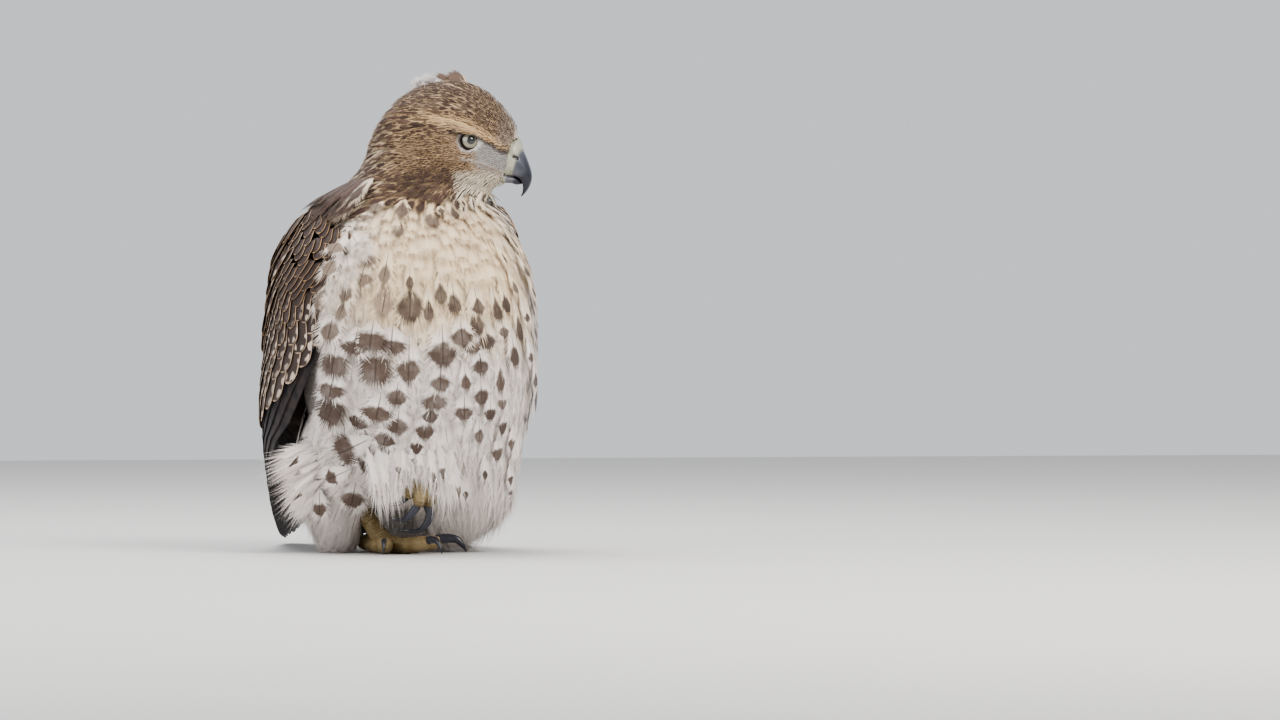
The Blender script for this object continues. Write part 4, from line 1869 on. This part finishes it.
def scaled_tube(stations, top):
    """A toe or shank whose upper side is ridged by overlapping scutes."""
    line = spline(stations, 40)
    line = spline(stations, max(int(distance_along(line)[-1] / TOE_STEP), 12))
    run = distance_along(line)
    way = way_along(line)
    up = unit(np.asarray(top, float) - way * (way @ np.asarray(top, float))[:, None])
    across = np.cross(way, up)
    rings = []
    for i in range(len(line)):
        saw = (run[i] / SCUTE) % 1
        ring = []
        for a in circle(20):
            high = max(math.sin(a), 0) ** 0.5
            radius = line[i, 3] * (1 + 0.19 * high * (0.6 - saw if saw < 0.8 else -0.5))
            ring.append(line[i, :3] + (across[i] * math.cos(a) + up[i] * math.sin(a)) * radius)
        rings.append(ring)
    return lofted("toe", rings, FOOT_SKIN)


def ball(centre, radii):
    shape = bmesh.new()
    bmesh.ops.create_uvsphere(shape, u_segments=28, v_segments=18, radius=1)
    for vertex in shape.verts:
        vertex.co = Vector([c + r * v for c, r, v in zip(centre, radii, vertex.co)]) * MM
    mesh = bpy.data.meshes.new("pad")
    shape.to_mesh(mesh)
    shape.free()
    mesh.materials.append(FOOT_SKIN)
    mesh.polygons.foreach_set("use_smooth", [True] * len(mesh.polygons))
    made = bpy.data.objects.new("pad", mesh)
    bpy.context.scene.collection.objects.link(made)
    return made


def foot(name, node, pieces):
    made = joined(name, pieces)
    points = coords(made)
    low = points[:, 2].min()
    tint = blendings(linear(144, 128, 94), (ramp(points[:, 2] - low, 8, 0), linear(106, 92, 70)))
    paint(made, "ground", tint)
    points[:, 2] = np.maximum(points[:, 2], 0.0)
    settle(made, points)
    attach(made, "root")
    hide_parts(node)


def standing_foot():
    pieces = [ball((0, 0, 6), (12.5, 12.5, 7.6)),
              scaled_tube([[-2, 0, 8, 7.5], [-8, 4, 18, 6.2], [-15, 8, 30, 6], [-18, 9, 38, 6.2]],
                          (0.5, -1, 0.3))]
    for angle, length, end, _, _ in TOES:
        way = heading(angle)
        stations = [[way[0] * length * p, way[1] * length * p, 5.2 + (end - 5.2) * p**3, r]
                    for p, r in zip(KNUCKLES, TOE_RADII)]
        pieces.append(scaled_tube(stations, (0, 0, 1)))
    foot("scaled_foot_right", "foot_right", pieces)


def raised_foot():
    pieces = [ball(PALM, (9.5, 9, 9)),
              scaled_tube([[33, -16, 78, 6], [27, -28, 70, 6], [21, -38, 61, 6.2]], (0, -1, 0))]
    for path in RAISED_TOES:
        stations = [[*point, radius] for point, radius in zip(path, RAISED_TOE_RADII)]
        pieces.append(scaled_tube(stations, (0.1, -1, 0.2)))
    foot("scaled_foot_left", "foot_left", pieces)


def claw(name, node, points, root):
    """A round, pointed horn, darkest at its tip."""
    taper = np.array([1, 0.93, 0.78, 0.56, 0.3, 0.04])
    path = spline(points, 6)
    stations = np.hstack([path, (root * taper)[:, None]])
    line = spline(stations, 32)
    way = way_along(line)
    chord = line[-1, :3] - line[0, :3]
    flat = unit(np.array([-chord[1], chord[0], 0]))
    across = unit(flat - way * (way @ flat)[:, None])
    up = np.cross(way, across)
    rings = []
    for i in range(len(line)):
        r = max(line[i, 3], 0.12)
        rings.append([line[i, :3] + across[i] * 0.78 * r * math.cos(a) + up[i] * r * math.sin(a)
                      for a in circle(20)])
    rings = np.array(rings)
    points = capped(rings)
    points[:, 2] = np.maximum(points[:, 2], 0.2)
    made = new_mesh(name, points, ring_faces(*rings.shape[:2]), CLAW_HORN)
    run = run_of(rings)
    paint(made, "ground", blendings(linear(54, 54, 62), (ramp(run, 0.1, 0.8), linear(24, 24, 29))))
    outwards(made, merge=False)
    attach(made, "root")
    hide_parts(node)


standing_foot()
raised_foot()
for i, (angle, length, end, reach, root) in enumerate(TOES):
    way = heading(angle)
    far = reach * 0.72
    path = [(-3, end + 0.5), (far * 0.5, end + 1.2), (far * 0.85, end * 0.6), (far, 0.7)]
    claw(f"talon_right_{i + 1}", f"claw_right_{i + 1}",
         [[way[0] * (length + past), way[1] * (length + past), z] for past, z in path], root)
for i, (points, root) in enumerate(RAISED_CLAWS):
    claw(f"talon_left_{i + 1}", f"claw_left_{i + 1}", points, root)

for kind in KINDS.values():
    for made in list(kind.objects):
        bpy.data.objects.remove(made)
    bpy.data.collections.remove(kind)


# Studio

def studio():
    floor = new_mesh("floor", [(-3000, -3000, 0), (3000, -3000, 0), (3000, 3000, 0), (-3000, 3000, 0)],
                     [(0, 1, 2, 3)], bpy.data.materials.new("pale floor"))
    floor.data.materials[0].use_nodes = True
    shader = floor.data.materials[0].node_tree.nodes["Principled BSDF"]
    shader.inputs["Base Color"].default_value = (0.62, 0.61, 0.59, 1)
    shader.inputs["Roughness"].default_value = 0.9
    world = bpy.data.worlds.new("soft studio")
    bpy.context.scene.world = world
    world.use_nodes = True
    world.node_tree.nodes["Background"].inputs[0].default_value = (0.86, 0.88, 0.92, 1)
    world.node_tree.nodes["Background"].inputs[1].default_value = 0.55
    for name, place, size, power, colour in (
            ("key", (0.9, -1.6, 1.5), 1.2, 34, (1, 0.97, 0.93)),
            ("fill", (-1.8, -1.2, 0.8), 1.6, 14, (0.93, 0.96, 1)),
            ("top", (-0.3, 0.5, 1.9), 1.4, 22, (1, 1, 1))):
        lamp = bpy.data.objects.new(name, bpy.data.lights.new(name, "AREA"))
        lamp.data.energy = power
        lamp.data.size = size
        lamp.data.color = colour
        lamp.location = place
        lamp.rotation_euler = (Vector((0.02, 0, 0.15)) - Vector(place)).to_track_quat("-Z", "Y").to_euler()
        bpy.context.scene.collection.objects.link(lamp)


def camera():
    """The photo's view: the bird stands left of its middle, at 1.4 of its pixels to the millimetre."""
    lens = bpy.data.cameras.new("view")
    lens.lens = VIEW_LENS
    lens.sensor_width = 36
    lens.clip_end = 50
    made = bpy.data.objects.new("view", lens)
    bpy.context.scene.collection.objects.link(made)
    back = Vector((-math.sin(VIEW_TURN), -math.cos(VIEW_TURN), VIEW_RISE)).normalized()
    made.location = Vector(VIEW_AIM) + back * VIEW_DISTANCE
    made.rotation_euler = (-back).to_track_quat("-Z", "Y").to_euler()
    bpy.context.scene.camera = made
    bpy.context.scene.view_settings.view_transform = "AgX"
    bpy.context.scene.view_settings.look = "AgX - Medium High Contrast"
    bpy.context.scene.view_settings.exposure = 0.45


studio()
camera()
